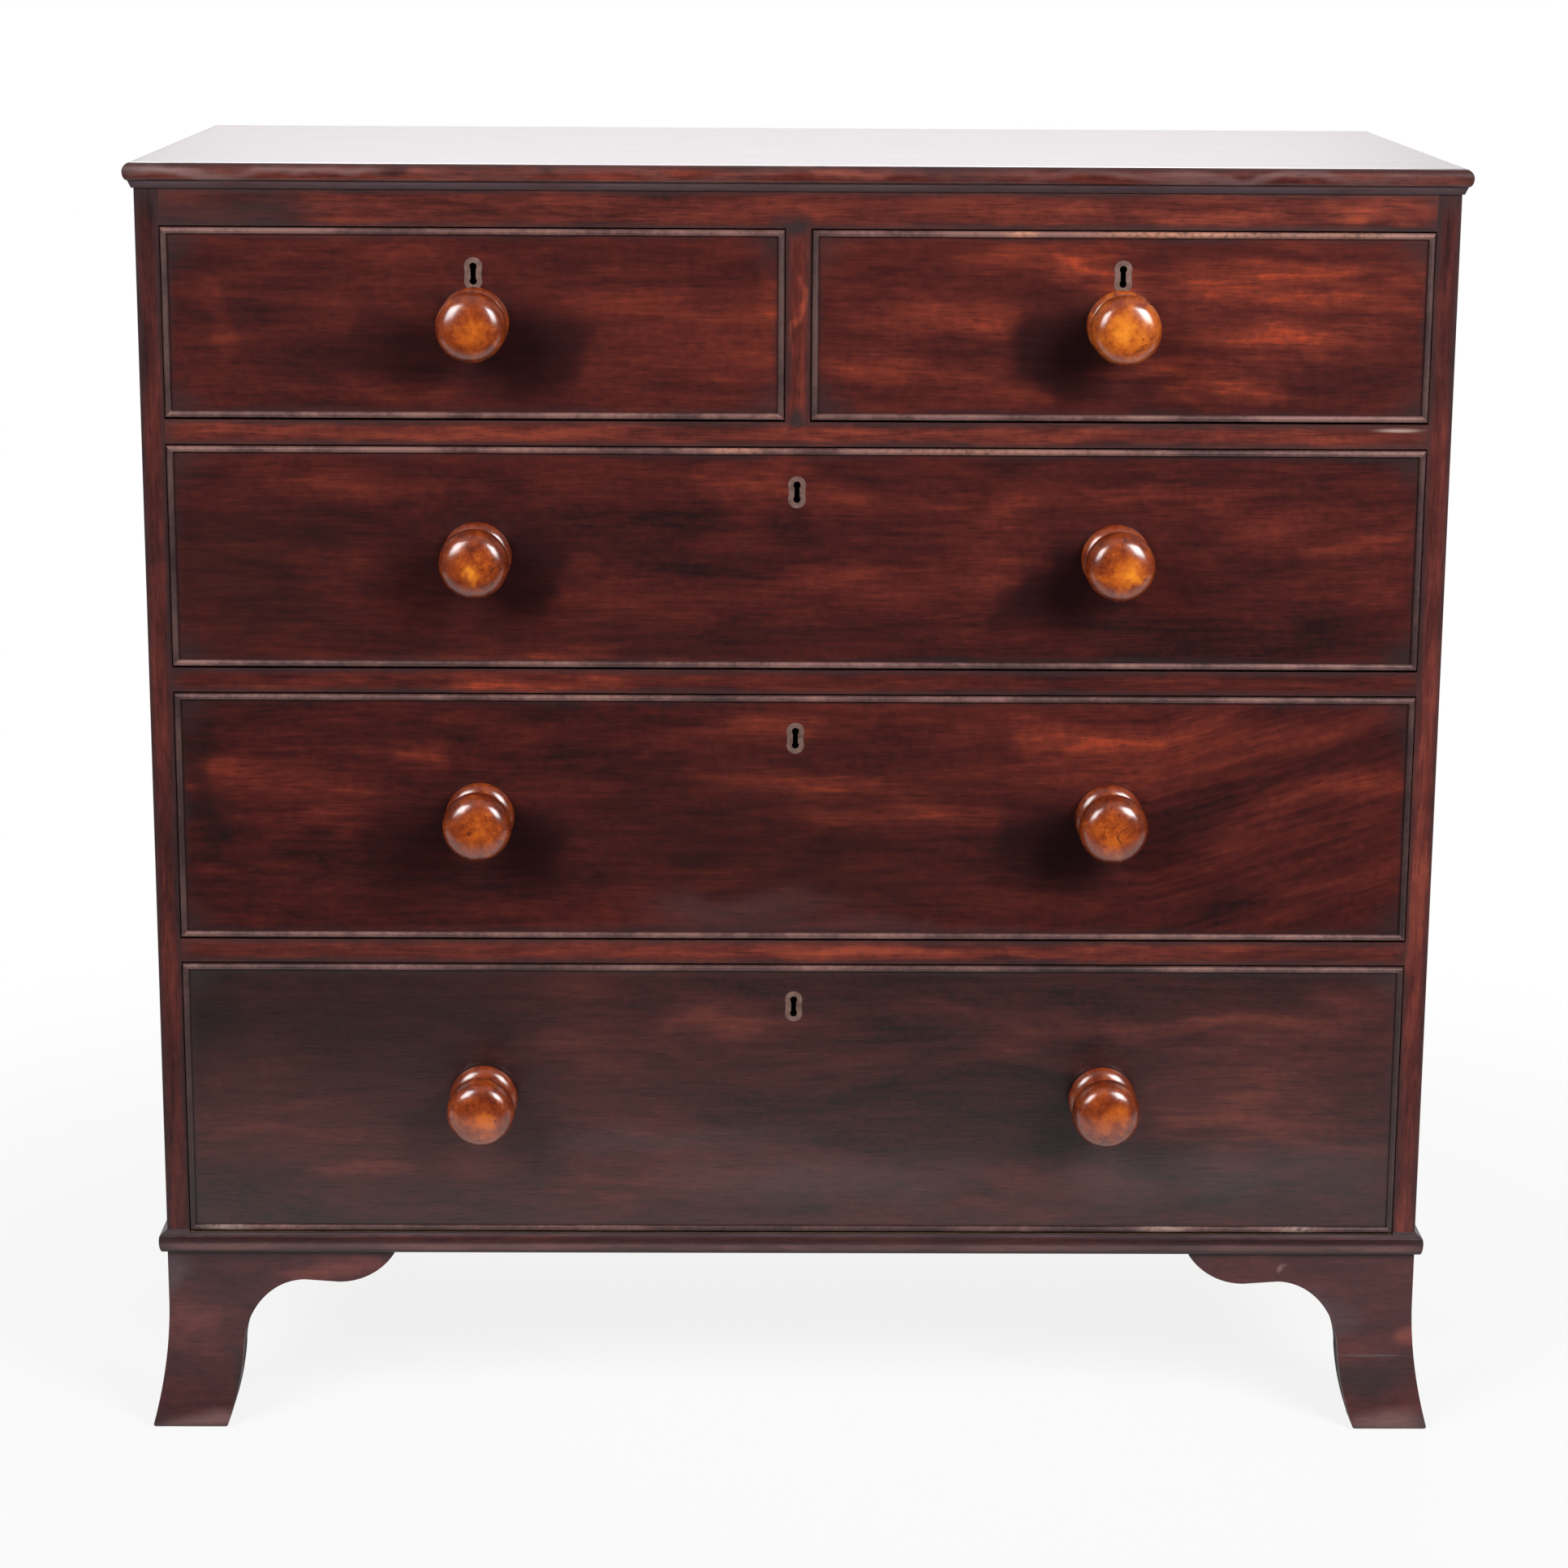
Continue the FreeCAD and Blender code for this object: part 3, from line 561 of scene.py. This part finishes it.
# Bare wood inside the chest: its tones, shares of its figure, dark pores and brown stains
OAK_TONES = [(0.28, (0.13, 0.07, 0.035)), (0.5, (0.28, 0.17, 0.09)), (0.72, (0.42, 0.28, 0.16))]
PINE_TONES = [(0.28, (0.16, 0.08, 0.035)), (0.5, (0.33, 0.19, 0.09)), (0.72, (0.46, 0.3, 0.16))]
BARE_BAND_SHARE = 0.3
BARE_CLOUD_SHARE = 0.3
BARE_STREAK_SHARE = 0.25
BARE_FIBRE_SHARE = 0.15
PORE_BROWN = (0.06, 0.035, 0.02)
BARE_PORE_SHARE = 0.5
STAIN_BROWN = (0.1, 0.06, 0.035)
STAIN_RANGE = (0.5, 0.75)
STAIN_SHARE = 0.6
BARE_ROUGHNESS = 0.6
BARE_STREAK_ROUGHNESS = 0.15
BARE_FIBRE_HEIGHT = 0.6
BARE_STREAK_HEIGHT = 0.4
BARE_RELIEF_STRENGTH = 0.35
BARE_RELIEF_DEPTH = 0.0006


def bare_wood(name, along, seed, tones):
    """Return bare aged wood for the inside of the chest."""
    material, shader, here = new_material(name)
    band, cloud, streak, fibre = figure(here, along, seed)
    broad = band * BARE_BAND_SHARE + cloud * BARE_CLOUD_SHARE
    fine = streak * BARE_STREAK_SHARE + fibre * BARE_FIBRE_SHARE
    colour = (broad + fine).tint(tones)
    colour = colour.blend(PORE_BROWN, fibre.rise(*PORE_RANGE) * BARE_PORE_SHARE)
    stain = here.noise(scale=4.0, detail=4.0, roughness=0.6)
    colour = colour.blend(STAIN_BROWN, stain.rise(*STAIN_RANGE) * STAIN_SHARE)
    relief = fibre * BARE_FIBRE_HEIGHT + streak * BARE_STREAK_HEIGHT
    feed(shader, "Base Color", colour)
    feed(shader, "Roughness", streak * BARE_STREAK_ROUGHNESS + BARE_ROUGHNESS)
    feed(shader, "Normal", bump(relief, BARE_RELIEF_STRENGTH, BARE_RELIEF_DEPTH))
    return material


# Aged brass and iron, in dull patches
BRASS_TONES = [(0.3, (0.11, 0.06, 0.05)), (0.7, (0.33, 0.2, 0.165))]
IRON_TONES = [(0.3, (0.1, 0.09, 0.085)), (0.7, (0.28, 0.26, 0.24))]
BRASS_ROUGHNESS = 0.35
IRON_ROUGHNESS = 0.4
METAL_PATCH_SHARE = 0.6
METAL_FINE_SHARE = 0.4
METAL_SHARE = 0.7
METAL_PATCH_ROUGHNESS = 0.25
METAL_RELIEF_STRENGTH = 0.2
METAL_RELIEF_DEPTH = 0.0003
# The keyway goes into the lock from just behind the face of its escutcheon, below the lock's upper edge
KEYWAY_HALF = (0.004, 0.0108)
KEYWAY_CORE = 0.95
KEYWAY_MOUTH = (0.0004, 0.001)
KEYWAY_END = (0.018, 0.017)
KEY_DROP = 0.0353


def metal(name, tones, roughness, keyway=None):
    """Return aged metal, with painted black shade inside the keyway where there is one."""
    material, shader, here = new_material(name)
    patch = here.noise(scale=160.0, detail=4.0, roughness=0.6)
    fine = here.noise(scale=900.0, roughness=0.6)
    colour = (patch * METAL_PATCH_SHARE + fine * METAL_FINE_SHARE).tint(tones)
    if keyway:
        key_x, key_y, key_z = keyway
        depth = here.part(Y) - key_y
        # Painted shade: the walls inside the keyway go black
        hole = here.spot(key_x, key_z, *KEYWAY_HALF, KEYWAY_CORE)
        colour = colour.blend(PAINTED_KEYWAY_SHADE, hole * depth.rise(*KEYWAY_MOUTH) * depth.rise(*KEYWAY_END))
    feed(shader, "Base Color", colour)
    feed(shader, "Metallic", METAL_SHARE)
    feed(shader, "Roughness", patch * METAL_PATCH_ROUGHNESS + roughness)
    feed(shader, "Normal", bump(fine + patch, METAL_RELIEF_STRENGTH, METAL_RELIEF_DEPTH))
    return material


def dress(node, material):
    """Give a piece its finish."""
    nodes[node].material_slots[0].material = material


# Drawers
FRONT_LOOKS = {
    "short_left_drawer": WoodLook(FRONT_TONES, shade=0.0, streaks=0.55, sheen=0.2),
    "short_right_drawer": WoodLook(FRONT_TONES, shade=-0.02, streaks=0.6, sheen=0.2),
    "upper_drawer": WoodLook(FRONT_TONES, shade=-0.06, streaks=0.65, sheen=0.17),
    "middle_drawer": WoodLook(FRONT_TONES, shade=-0.07, streaks=0.65, sheen=0.1),
    "lower_drawer": WoodLook(BROWN_TONES, shade=-0.06, streaks=0.5, sheen=0.5),
}
# Marks on the front: colour, X, Z, half length, half height and share
FRONT_MARKS = {
    "short_left_drawer": [
        (GLOW, -0.478, 0.925, 0.03, 0.05, 0.35), (GLOW, -0.356, 0.982, 0.09, 0.015, 0.4),
        (GLOW, -0.084, 0.892, 0.13, 0.022, 0.3), (GLOW, -0.036, 0.949, 0.03, 0.05, 0.3),
        (GLOW, -0.314, 0.866, 0.14, 0.012, 0.4), (GLOW, -0.13, 0.95, 0.1, 0.035, 0.2)],
    "short_right_drawer": [
        (GLOW, 0.389, 0.966, 0.14, 0.016, 0.8), (GLOW, 0.386, 0.946, 0.17, 0.016, 0.85),
        (GLOW, 0.416, 0.915, 0.15, 0.026, 0.7), (GLOW, 0.339, 0.876, 0.06, 0.02, 0.85),
        (GLOW, 0.092, 0.889, 0.09, 0.013, 0.9), (GLOW, 0.185, 0.979, 0.09, 0.018, 0.7),
        (GLOW, 0.237, 0.96, 0.06, 0.026, 0.7), (GLOW, 0.328, 0.895, 0.1, 0.011, 0.7),
        (GLOW, 0.1, 0.935, 0.12, 0.03, 0.4)],
    "upper_drawer": [
        (GLOW, -0.028, 0.795, 0.07, 0.03, 0.5), (GLOW, 0.014, 0.784, 0.055, 0.026, 0.5),
        (GLOW, -0.35, 0.795, 0.13, 0.025, 0.35), (GLOW, 0.11, 0.782, 0.13, 0.02, 0.35),
        (GLOW, 0.313, 0.789, 0.08, 0.016, 0.4), (GLOW, 0.417, 0.754, 0.1, 0.015, 0.5),
        (GLOW, 0.461, 0.708, 0.07, 0.016, 0.4), (GLOW, -0.191, 0.657, 0.2, 0.01, 0.4),
        (GLOW, 0.03, 0.72, 0.2, 0.03, 0.3), (SOOT_AND_SHADE, -0.44, 0.72, 0.14, 0.12, 0.5),
        (SOOT_AND_SHADE, -0.1, 0.67, 0.3, 0.03, 0.25)],
    "middle_drawer": [
        (GLOW, -0.388, 0.545, 0.2, 0.055, 0.5), (GLOW, -0.297, 0.575, 0.05, 0.017, 0.7),
        (GLOW, -0.384, 0.52, 0.14, 0.015, 0.55), (GLOW, -0.46, 0.563, 0.06, 0.02, 0.5),
        (GLOW, -0.025, 0.602, 0.08, 0.017, 0.6), (GLOW, 0.0, 0.554, 0.15, 0.016, 0.5),
        (GLOW, 0.208, 0.587, 0.08, 0.022, 0.65), (GLOW, 0.302, 0.587, 0.08, 0.02, 0.5),
        (GLOW, 0.084, 0.522, 0.12, 0.016, 0.5), (GLOW, 0.42, 0.5, 0.14, 0.04, 0.65),
        (SOOT_AND_SHADE, 0.0, 0.52, 0.3, 0.13, 0.35), (SOOT_AND_SHADE, 0.02, 0.46, 0.3, 0.05, 0.35),
        (DUST_AND_REFLECTION, -0.05, 0.448, 0.14, 0.022, 0.15), (DUST_AND_REFLECTION, 0.03, 0.43, 0.3, 0.012, 0.12),
        (SOOT_AND_SHADE, -0.49, 0.55, 0.03, 0.14, 0.5)],
    # On the lower drawer the grey dust marks near the bottom are dust and painted reflection of the pale
    # floor
    "lower_drawer": [
        (GLOW, -0.05, 0.35, 0.1, 0.022, 0.6), (GLOW, -0.358, 0.223, 0.07, 0.014, 0.4),
        (GLOW, -0.194, 0.205, 0.12, 0.022, 0.5), (GLOW, 0.295, 0.346, 0.15, 0.016, 0.6),
        (GLOW, 0.455, 0.3715, 0.06, 0.024, 0.5), (GLOW, 0.198, 0.334, 0.08, 0.016, 0.5),
        (GLOW, 0.38, 0.26, 0.14, 0.05, 0.75), (SOOT_AND_SHADE, -0.5, 0.37, 0.06, 0.14, 0.75),
        (SOOT_AND_SHADE, -0.36, 0.35, 0.26, 0.12, 0.7), (DUST_AND_REFLECTION, 0.02, 0.215, 0.18, 0.035, 0.18),
        (DUST_AND_REFLECTION, -0.1, 0.25, 0.16, 0.02, 0.12), (SOOT_AND_SHADE, 0.1, 0.39, 0.12, 0.02, 0.4),
        (GLOW, 0.4, 0.33, 0.14, 0.06, 0.4), (DUST_AND_REFLECTION, 0.35, 0.22, 0.2, 0.04, 0.2)],
}
# Right of this X the grain of the middle drawer runs upwards at this slope
MIDDLE_FAN = (0.29, 0.3)
# Depth of tone of the beads
BEAD_SHADES = {
    "short_left_drawer": 0.06,
    "short_right_drawer": 0.06,
    "upper_drawer": 0.02,
    "middle_drawer": 0.0,
    "lower_drawer": -0.04,
}
# Marks on the beads, written as on the front
BEAD_MARKS = {
    "short_right_drawer": [(RUBBED, 0.175, 0.998, 0.02, 0.02, 0.9), (RUBBED, 0.3, 0.998, 0.11, 0.02, 0.75),
                           (RUBBED, 0.43, 0.998, 0.08, 0.02, 0.4)],
    "upper_drawer": [(RUBBED, -0.05, 0.826, 0.03, 0.02, 0.6), (RUBBED, 0.15, 0.826, 0.12, 0.02, 0.3)],
    "lower_drawer": [(CHIP, 0.31, 0.17, 0.03, 0.02, 0.6), (CHIP, 0.42, 0.17, 0.02, 0.02, 0.5),
                     (CHIP, -0.47, 0.17, 0.03, 0.02, 0.5)],
}
LEFT = "left"
RIGHT = "right"
# Painted shadows of a left-hand and a right-hand knob on the polish below: places beside the knob, and
# shares
DEEP_KNOB_SHADOWS = {LEFT: ((0.042, 0.75), (-0.05, 0.55), (0.0, 0.35)), RIGHT: ((-0.042, 0.8), (-0.025, 0.35))}
FAINT_KNOB_SHADOWS = {LEFT: ((0.04, 0.25), (-0.045, 0.25)), RIGHT: ((-0.042, 0.3),)}
# Warmth of each knob, and its marks: colour, place beside and above the middle, half sizes, tilt and share
KNOB_LOOKS = {
    "short_left_drawer": {
        LEFT: (0.07, [(EMBER, 0.004, -0.008, 0.016, 0.01, 0.3, 0.35)])},
    "short_right_drawer": {
        RIGHT: (0.18, [(YELLOW, -0.003, -0.001, 0.013, 0.011, 0.0, 0.8),
                       (CRACK, 0.012, -0.009, 0.012, 0.0012, 0.6, 0.6),
                       (CRACK, 0.009, -0.013, 0.01, 0.0012, 0.6, 0.6)])},
    "upper_drawer": {
        LEFT: (0.02, [(YELLOW, -0.001, -0.007, 0.009, 0.01, 0.0, 0.85),
                      (CRACK, 0.014, -0.002, 0.01, 0.0014, 0.9, 0.85)]),
        RIGHT: (0.08, [(YELLOW, 0.007, -0.006, 0.01, 0.009, 0.0, 0.85)])},
    "middle_drawer": {
        LEFT: (0.03, [(EMBER, 0.0, -0.004, 0.013, 0.011, 0.0, 0.45)]),
        RIGHT: (0.02, [(EMBER, 0.003, -0.006, 0.014, 0.01, 0.0, 0.45),
                       (CRACK, 0.005, -0.004, 0.009, 0.0018, -1.0, 0.9),
                       (CRACK, 0.007, 0.001, 0.006, 0.0014, 0.7, 0.8)])},
    "lower_drawer": {
        LEFT: (0.04, [(EMBER, 0.001, -0.003, 0.014, 0.009, 0.0, 0.5)]),
        RIGHT: (0.02, [(EMBER, -0.002, -0.006, 0.012, 0.008, 0.0, 0.4)])},
}
# Grain of the pieces behind a drawer front, and how far their noise lies from the front's
DRAWER_INSIDES = {"sides": ("y", 0.3), "back": ("x", 0.6), "bottom": ("x", 0.9)}
DRAWER_SEED = 3.0
DRAWER_SEED_STEP = 2.7


def dress_drawer(drawer, seed):
    """Finish the front, beads, knobs, inner pieces, lock and bolt of one drawer."""
    front, beads, knobs, lock = (drawer + end for end in ("_front", "_cockbeads", "_knobs", "_lock"))
    knob_low, knob_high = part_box(knobs)
    knob_radius = (knob_high.z - knob_low.z) / 2
    knob_x = {LEFT: knob_low.x + knob_radius, RIGHT: knob_high.x - knob_radius}
    knob_z = knob_low.z + knob_radius
    knob_looks = [Knob(knob_x[side], knob_z, *look) for side, look in KNOB_LOOKS[drawer].items()]
    shadow_spots = FAINT_KNOB_SHADOWS if drawer == "lower_drawer" else DEEP_KNOB_SHADOWS
    knob_shadows = [(knob_x[side], knob_z, shadow_spots[side]) for side in KNOB_LOOKS[drawer]]
    fan = MIDDLE_FAN if drawer == "middle_drawer" else None
    front_finish = mahogany(front, seed, FRONT_LOOKS[drawer], FRONT_MARKS[drawer], knob_shadows=knob_shadows,
                            grime=FRONT_GRIME, fan=fan)
    dress(front, front_finish)
    dress(beads, bead_wood(beads, seed, BEAD_MARKS.get(drawer, ()), BEAD_SHADES[drawer]))
    dress(knobs, knob_wood(knobs, seed, knob_looks))
    for piece, (grain, apart) in DRAWER_INSIDES.items():
        node = drawer + "_" + piece
        dress(node, bare_wood(node + "_finish", grain, seed + apart, OAK_TONES))
    lock_low, lock_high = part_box(lock)
    keyway = ((lock_low.x + lock_high.x) / 2, lock_low.y, lock_high.z - KEY_DROP)
    dress(lock, metal(lock + "_finish", BRASS_TONES, BRASS_ROUGHNESS, keyway))
    dress(lock + "_bolt", metal(drawer + "_bolt_finish", IRON_TONES, IRON_ROUGHNESS))


for index, drawer in enumerate(DRAWERS):
    dress_drawer(drawer, DRAWER_SEED + index * DRAWER_SEED_STEP)

# Case
FOOT_LOOK = WoodLook(DIM_TONES, streaks=0.25)
CASE_LOOKS = {
    "top": WoodLook(CASE_TONES),
    "side_left": WoodLook(SIDE_TONES, along="z", shade=-0.05, sheen=0.2),
    "side_right": WoodLook(SIDE_TONES, along="z", sheen=0.2),
    "top_rail": WoodLook(CASE_TONES),
    "upper_rail": WoodLook(CASE_TONES),
    "middle_rail": WoodLook(FRONT_TONES),
    "lower_rail": WoodLook(CASE_TONES),
    "drawer_divider": WoodLook(CASE_TONES, along="z"),
    "base_moulding": WoodLook(DIM_TONES),
    "foot_front_left": FOOT_LOOK,
    "foot_front_right": FOOT_LOOK,
    "foot_rear_left": FOOT_LOOK,
    "foot_rear_right": FOOT_LOOK,
}
# Marks on the case, written as on the fronts
CASE_MARKS = {
    "side_right": [(GLOW, 0.51, 0.6, 0.04, 0.5, 0.3)],
    "top": [(SCUFF, 0.0, 1.041, 1.5, 0.007, 0.15), (SCUFF, -0.5, 1.041, 0.12, 0.006, 0.8),
            (SCUFF, -0.38, 1.041, 0.05, 0.006, 0.5), (GLOW, 0.05, 1.041, 0.1, 0.006, 0.5),
            (SOOT_AND_SHADE, -0.32, 1.041, 0.05, 0.008, 0.7), (SOOT_AND_SHADE, -0.2, 1.041, 0.03, 0.008, 0.6),
            (SCUFF, 0.35, 1.041, 0.2, 0.006, 0.35)],
    "top_rail": [(GLOW, 0.455, 1.013, 0.06, 0.014, 1.0), (GLOW, 0.3, 1.01, 0.16, 0.01, 0.6),
                 (SOOT_AND_SHADE, 0.48, 1.0005, 0.045, 0.0035, 0.8), (GRIME_AND_SHADE, -0.46, 1.01, 0.1, 0.024, 0.8),
                 (GRIME_AND_SHADE, 0.0, 1.0, 0.03, 0.012, 0.8)],
    "upper_rail": [(GLOW, 0.1, 0.837, 0.4, 0.01, 0.6), (GLOW, -0.3, 0.837, 0.18, 0.009, 0.5),
                   (CHIP, 0.478, 0.8425, 0.026, 0.0025, 0.95)],
    "middle_rail": [(GLOW, -0.25, 0.634, 0.25, 0.01, 0.4)],
    "lower_rail": [(GLOW, 0.1, 0.411, 0.35, 0.01, 0.6)],
    "drawer_divider": [(GLOW, 0.0, 0.93, 0.008, 0.05, 0.9), (GRIME_AND_SHADE, 0.0, 0.999, 0.02, 0.012, 0.9),
                       (GRIME_AND_SHADE, 0.0, 0.847, 0.02, 0.012, 0.9)],
    "foot_front_left": [(SCUFF, -0.49, 0.004, 0.07, 0.016, 0.55), (GLOW, -0.41, 0.135, 0.07, 0.014, 0.7),
                        (GLOW, -0.495, 0.09, 0.03, 0.04, 0.35), (GRIME_AND_SHADE, -0.47, 0.04, 0.014, 0.04, 0.8),
                        (GLOW, -0.36, 0.14, 0.05, 0.012, 0.5), (SLATE, -0.52, 0.13, 0.03, 0.04, 0.6)],
    "foot_front_right": [(SCUFF, 0.5, 0.004, 0.09, 0.02, 0.6), (GLOW, 0.515, 0.08, 0.03, 0.018, 0.9),
                         (GRIME_AND_SHADE, 0.485, 0.042, 0.06, 0.032, 0.85), (DUST_AND_REFLECTION, 0.488, 0.062, 0.045, 0.0016, 0.55),
                         (SCUFF, 0.418, 0.138, 0.008, 0.006, 0.6), (SLATE, 0.45, 0.1, 0.04, 0.03, 0.5)],
}
CHEST_HEIGHT = cad_box[1].z
TOP_FACE = CHEST_HEIGHT - FACE_SOFT
# The rounded edge of the top stands on a strip, and the slate band of that strip starts below it
NOSING_HEIGHT = 0.014
NOSING_FOOT = CHEST_HEIGHT - NOSING_HEIGHT
BELOW_STRIP = 1.02
MOULDING_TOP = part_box("base_moulding")[1].z
# Level bands along the mouldings: colour, lower and upper Z, softness and share
CASE_BANDS = {
    "top": [(SLATE, BELOW_STRIP, NOSING_FOOT, 0.0006, 0.9),
            # The dark band at the foot of the nose is painted shade in the crease under the rounded edge
            (SOOT_AND_SHADE, NOSING_FOOT - 0.0006, NOSING_FOOT + 0.001, 0.0004, 0.7)],
    "base_moulding": [(DUST_AND_REFLECTION, MOULDING_TOP - 0.0033, MOULDING_TOP + 0.01, 0.0005, 0.8),
                      (SOOT_AND_SHADE, MOULDING_TOP - 0.009, MOULDING_TOP - 0.0045, 0.0008, 0.5),
                      (SCUFF, MOULDING_TOP - 0.016, MOULDING_TOP - 0.0105, 0.0008, 0.35)],
}
CASE_SEED = 31.0
CASE_SEED_STEP = 1.9
for index, (node, look) in enumerate(CASE_LOOKS.items()):
    case_finish = mahogany(node, CASE_SEED + index * CASE_SEED_STEP, look, CASE_MARKS.get(node, ()),
                           CASE_BANDS.get(node, ()), raw_edge=node.startswith("foot_front"),
                           smooth_above=TOP_FACE if node == "top" else None)
    dress(node, case_finish)

# Bare pieces inside the case, and the direction of their grain
INSIDE_GRAIN = {
    "bottom_board": "x",
    "back_boards": "z",
    "side_runners": "y",
    "centre_runner": "y",
    "kickers": "y",
    "drawer_stops": "x",
    "foot_blocks": "z",
}
INSIDE_SEED = 61.0
INSIDE_SEED_STEP = 2.1
for index, (node, grain) in enumerate(INSIDE_GRAIN.items()):
    tones = OAK_TONES if node == "drawer_stops" else PINE_TONES
    dress(node, bare_wood(node + "_finish", grain, INSIDE_SEED + index * INSIDE_SEED_STEP, tones))

# Studio: a pale sheet on the floor, two soft boxes in front, one behind, and a white backdrop
BLACK_TO_WHITE = [(0.0, (0.0, 0.0, 0.0)), (1.0, (1.0, 1.0, 1.0))]
SHEET_FRONT = -1.6
SHEET_HALF = 2.2
PAPER = (0.75, 0.75, 0.75, 1.0)
PAPER_ROUGHNESS = 0.9
# Close to the chest the camera sees the floor as this much white, and the rest as lit paper
NEAR_WHITE = 0.85
SHADOW_REACH = (0.6, 1.5)
# In mirrors the floor fades from white to dark between these places in front of the chest
DARK_FLOOR = -1.4
WHITE_FLOOR = -0.6


def seen_and_mirrored(here):
    """Return which rays come from the camera or through glass, and which from a mirror."""
    kinds = ("Is Camera Ray", "Is Transmission Ray", "Is Glossy Ray")
    direct, through_glass, mirrored = (here.node("ShaderNodeLightPath", output=kind) for kind in kinds)
    return direct.most(through_glass), mirrored


def floor_paper():
    """Return pale paper that takes a soft shadow and otherwise shows white."""
    material, shader, here = new_material("floor_paper")
    feed(shader, "Base Color", PAPER)
    feed(shader, "Roughness", PAPER_ROUGHNESS)
    feed(shader, "Specular IOR Level", 0.0)
    seen, mirrored = seen_and_mirrored(here)
    whiteness = here.length().rise(*SHADOW_REACH) * (1.0 - NEAR_WHITE) + NEAR_WHITE
    share = (seen * whiteness).most(mirrored)
    glow = seen.most(here.part(Y).rise(DARK_FLOOR, WHITE_FLOOR)).tint(BLACK_TO_WHITE)
    white = here.node("ShaderNodeEmission", {}, {"Color": glow, "Strength": 1.0})
    tree = material.node_tree
    lit = Shade(tree, shader.outputs[0])
    mixed = here.node("ShaderNodeMixShader", {}, {0: share, 1: lit, 2: white})
    tree.links.new(mixed.socket, tree.nodes["Material Output"].inputs["Surface"])
    return material


floor_mesh = bpy.data.meshes.new("floor")
shape = bmesh.new()
bmesh.ops.create_grid(shape, x_segments=1, y_segments=1, size=SHEET_HALF)
bmesh.ops.translate(shape, verts=shape.verts, vec=(0.0, SHEET_FRONT + SHEET_HALF, 0.0))
shape.to_mesh(floor_mesh)
shape.free()
floor_mesh.materials.append(floor_paper())
floor = bpy.data.objects.new("floor", floor_mesh)
bpy.context.scene.collection.objects.link(floor)


def soft_box(name, place, target, width, height, watts, spread):
    """Add an area light that faces a target."""
    light = bpy.data.lights.new(name, "AREA")
    light.shape = "RECTANGLE"
    light.size = width
    light.size_y = height
    light.energy = watts
    light.spread = math.radians(spread)
    lamp = bpy.data.objects.new(name, light)
    lamp.location = place
    lamp.rotation_euler = (Vector(target) - Vector(place)).to_track_quat("-Z", "Y").to_euler()
    bpy.context.scene.collection.objects.link(lamp)


soft_box("soft_box_left", place=(-1.75, -2.0, 1.95), target=(-0.45, -0.22, 0.7),
         width=1.3, height=1.4, watts=14.4, spread=75.0)
soft_box("soft_box_right", place=(1.75, -2.0, 1.95), target=(0.45, -0.22, 0.7),
         width=1.3, height=1.4, watts=18.6, spread=75.0)
soft_box("soft_box_back", place=(0.0, 2.6, 2.4), target=(0.0, 0.2, 0.6),
         width=2.0, height=1.2, watts=40.0, spread=180.0)

# What polished wood mirrors: a white backdrop behind the chest, dimmer sides and a grey ceiling
BACKDROP_RANGE = (0.25, 0.8)
BACKDROP_WHITE = 0.83
SIDES_RANGE = (-0.75, 0.15)
SIDES_WHITE = 0.15
DARK_ROOM = 0.02
CEILING_RANGE = (0.45, 0.95)
CEILING_WHITE = 0.45
MIRROR_TINT = (0.985, 0.95, 0.985)
FILL_LIGHT = 0.075


def studio_world():
    """Surround the chest with white for the camera, a backdrop for mirrors and a little even light."""
    world = bpy.data.worlds.new("studio")
    bpy.context.scene.world = world
    world.use_nodes = True
    tree = world.node_tree
    direction = Shade(tree).node("ShaderNodeTexCoord", output="Generated")
    seen, mirrored = seen_and_mirrored(direction)
    backwards = direction.part(Y)
    backdrop = backwards.rise(*BACKDROP_RANGE) * BACKDROP_WHITE
    around = backdrop + backwards.rise(*SIDES_RANGE) * SIDES_WHITE + DARK_ROOM
    ceiling = direction.part(Z).rise(*CEILING_RANGE) * CEILING_WHITE
    brightness = seen.most(mirrored * around.most(ceiling)).most((1.0 - mirrored) * FILL_LIGHT)
    colour = brightness.tint(BLACK_TO_WHITE).blend(MIRROR_TINT, mirrored, "MULTIPLY")
    feed(tree.nodes["Background"], "Color", colour)
    feed(tree.nodes["Background"], "Strength", 1.0)


studio_world()

# Camera at the photograph's angle
LENS = 87.288
SENSOR = 36.0
FARTHEST = 60.0
PITCH = math.radians(13.0855)
ROLL = math.radians(0.34357)
YAW = math.radians(0.59337)
CAMERA_PLACE = Vector((-0.04005, -3.2196, 1.24998))
level_right = Vector((math.cos(YAW), -math.sin(YAW), 0.0))
level_ahead = Vector((math.sin(YAW), math.cos(YAW), 0.0))
ahead = level_ahead * math.cos(PITCH) - Vector((0.0, 0.0, math.sin(PITCH)))
upright = level_ahead * math.sin(PITCH) + Vector((0.0, 0.0, math.cos(PITCH)))
right = level_right * math.cos(ROLL) + upright * math.sin(ROLL)
up = upright * math.cos(ROLL) - level_right * math.sin(ROLL)
lens = bpy.data.cameras.new("camera")
lens.lens = LENS
lens.sensor_width = SENSOR
lens.clip_end = FARTHEST
camera = bpy.data.objects.new("camera", lens)
turn = Matrix((right, up, -ahead)).transposed().to_4x4()
camera.matrix_world = Matrix.Translation(CAMERA_PLACE) @ turn
bpy.context.scene.collection.objects.link(camera)
bpy.context.scene.camera = camera

bpy.context.scene.view_settings.view_transform = "Standard"
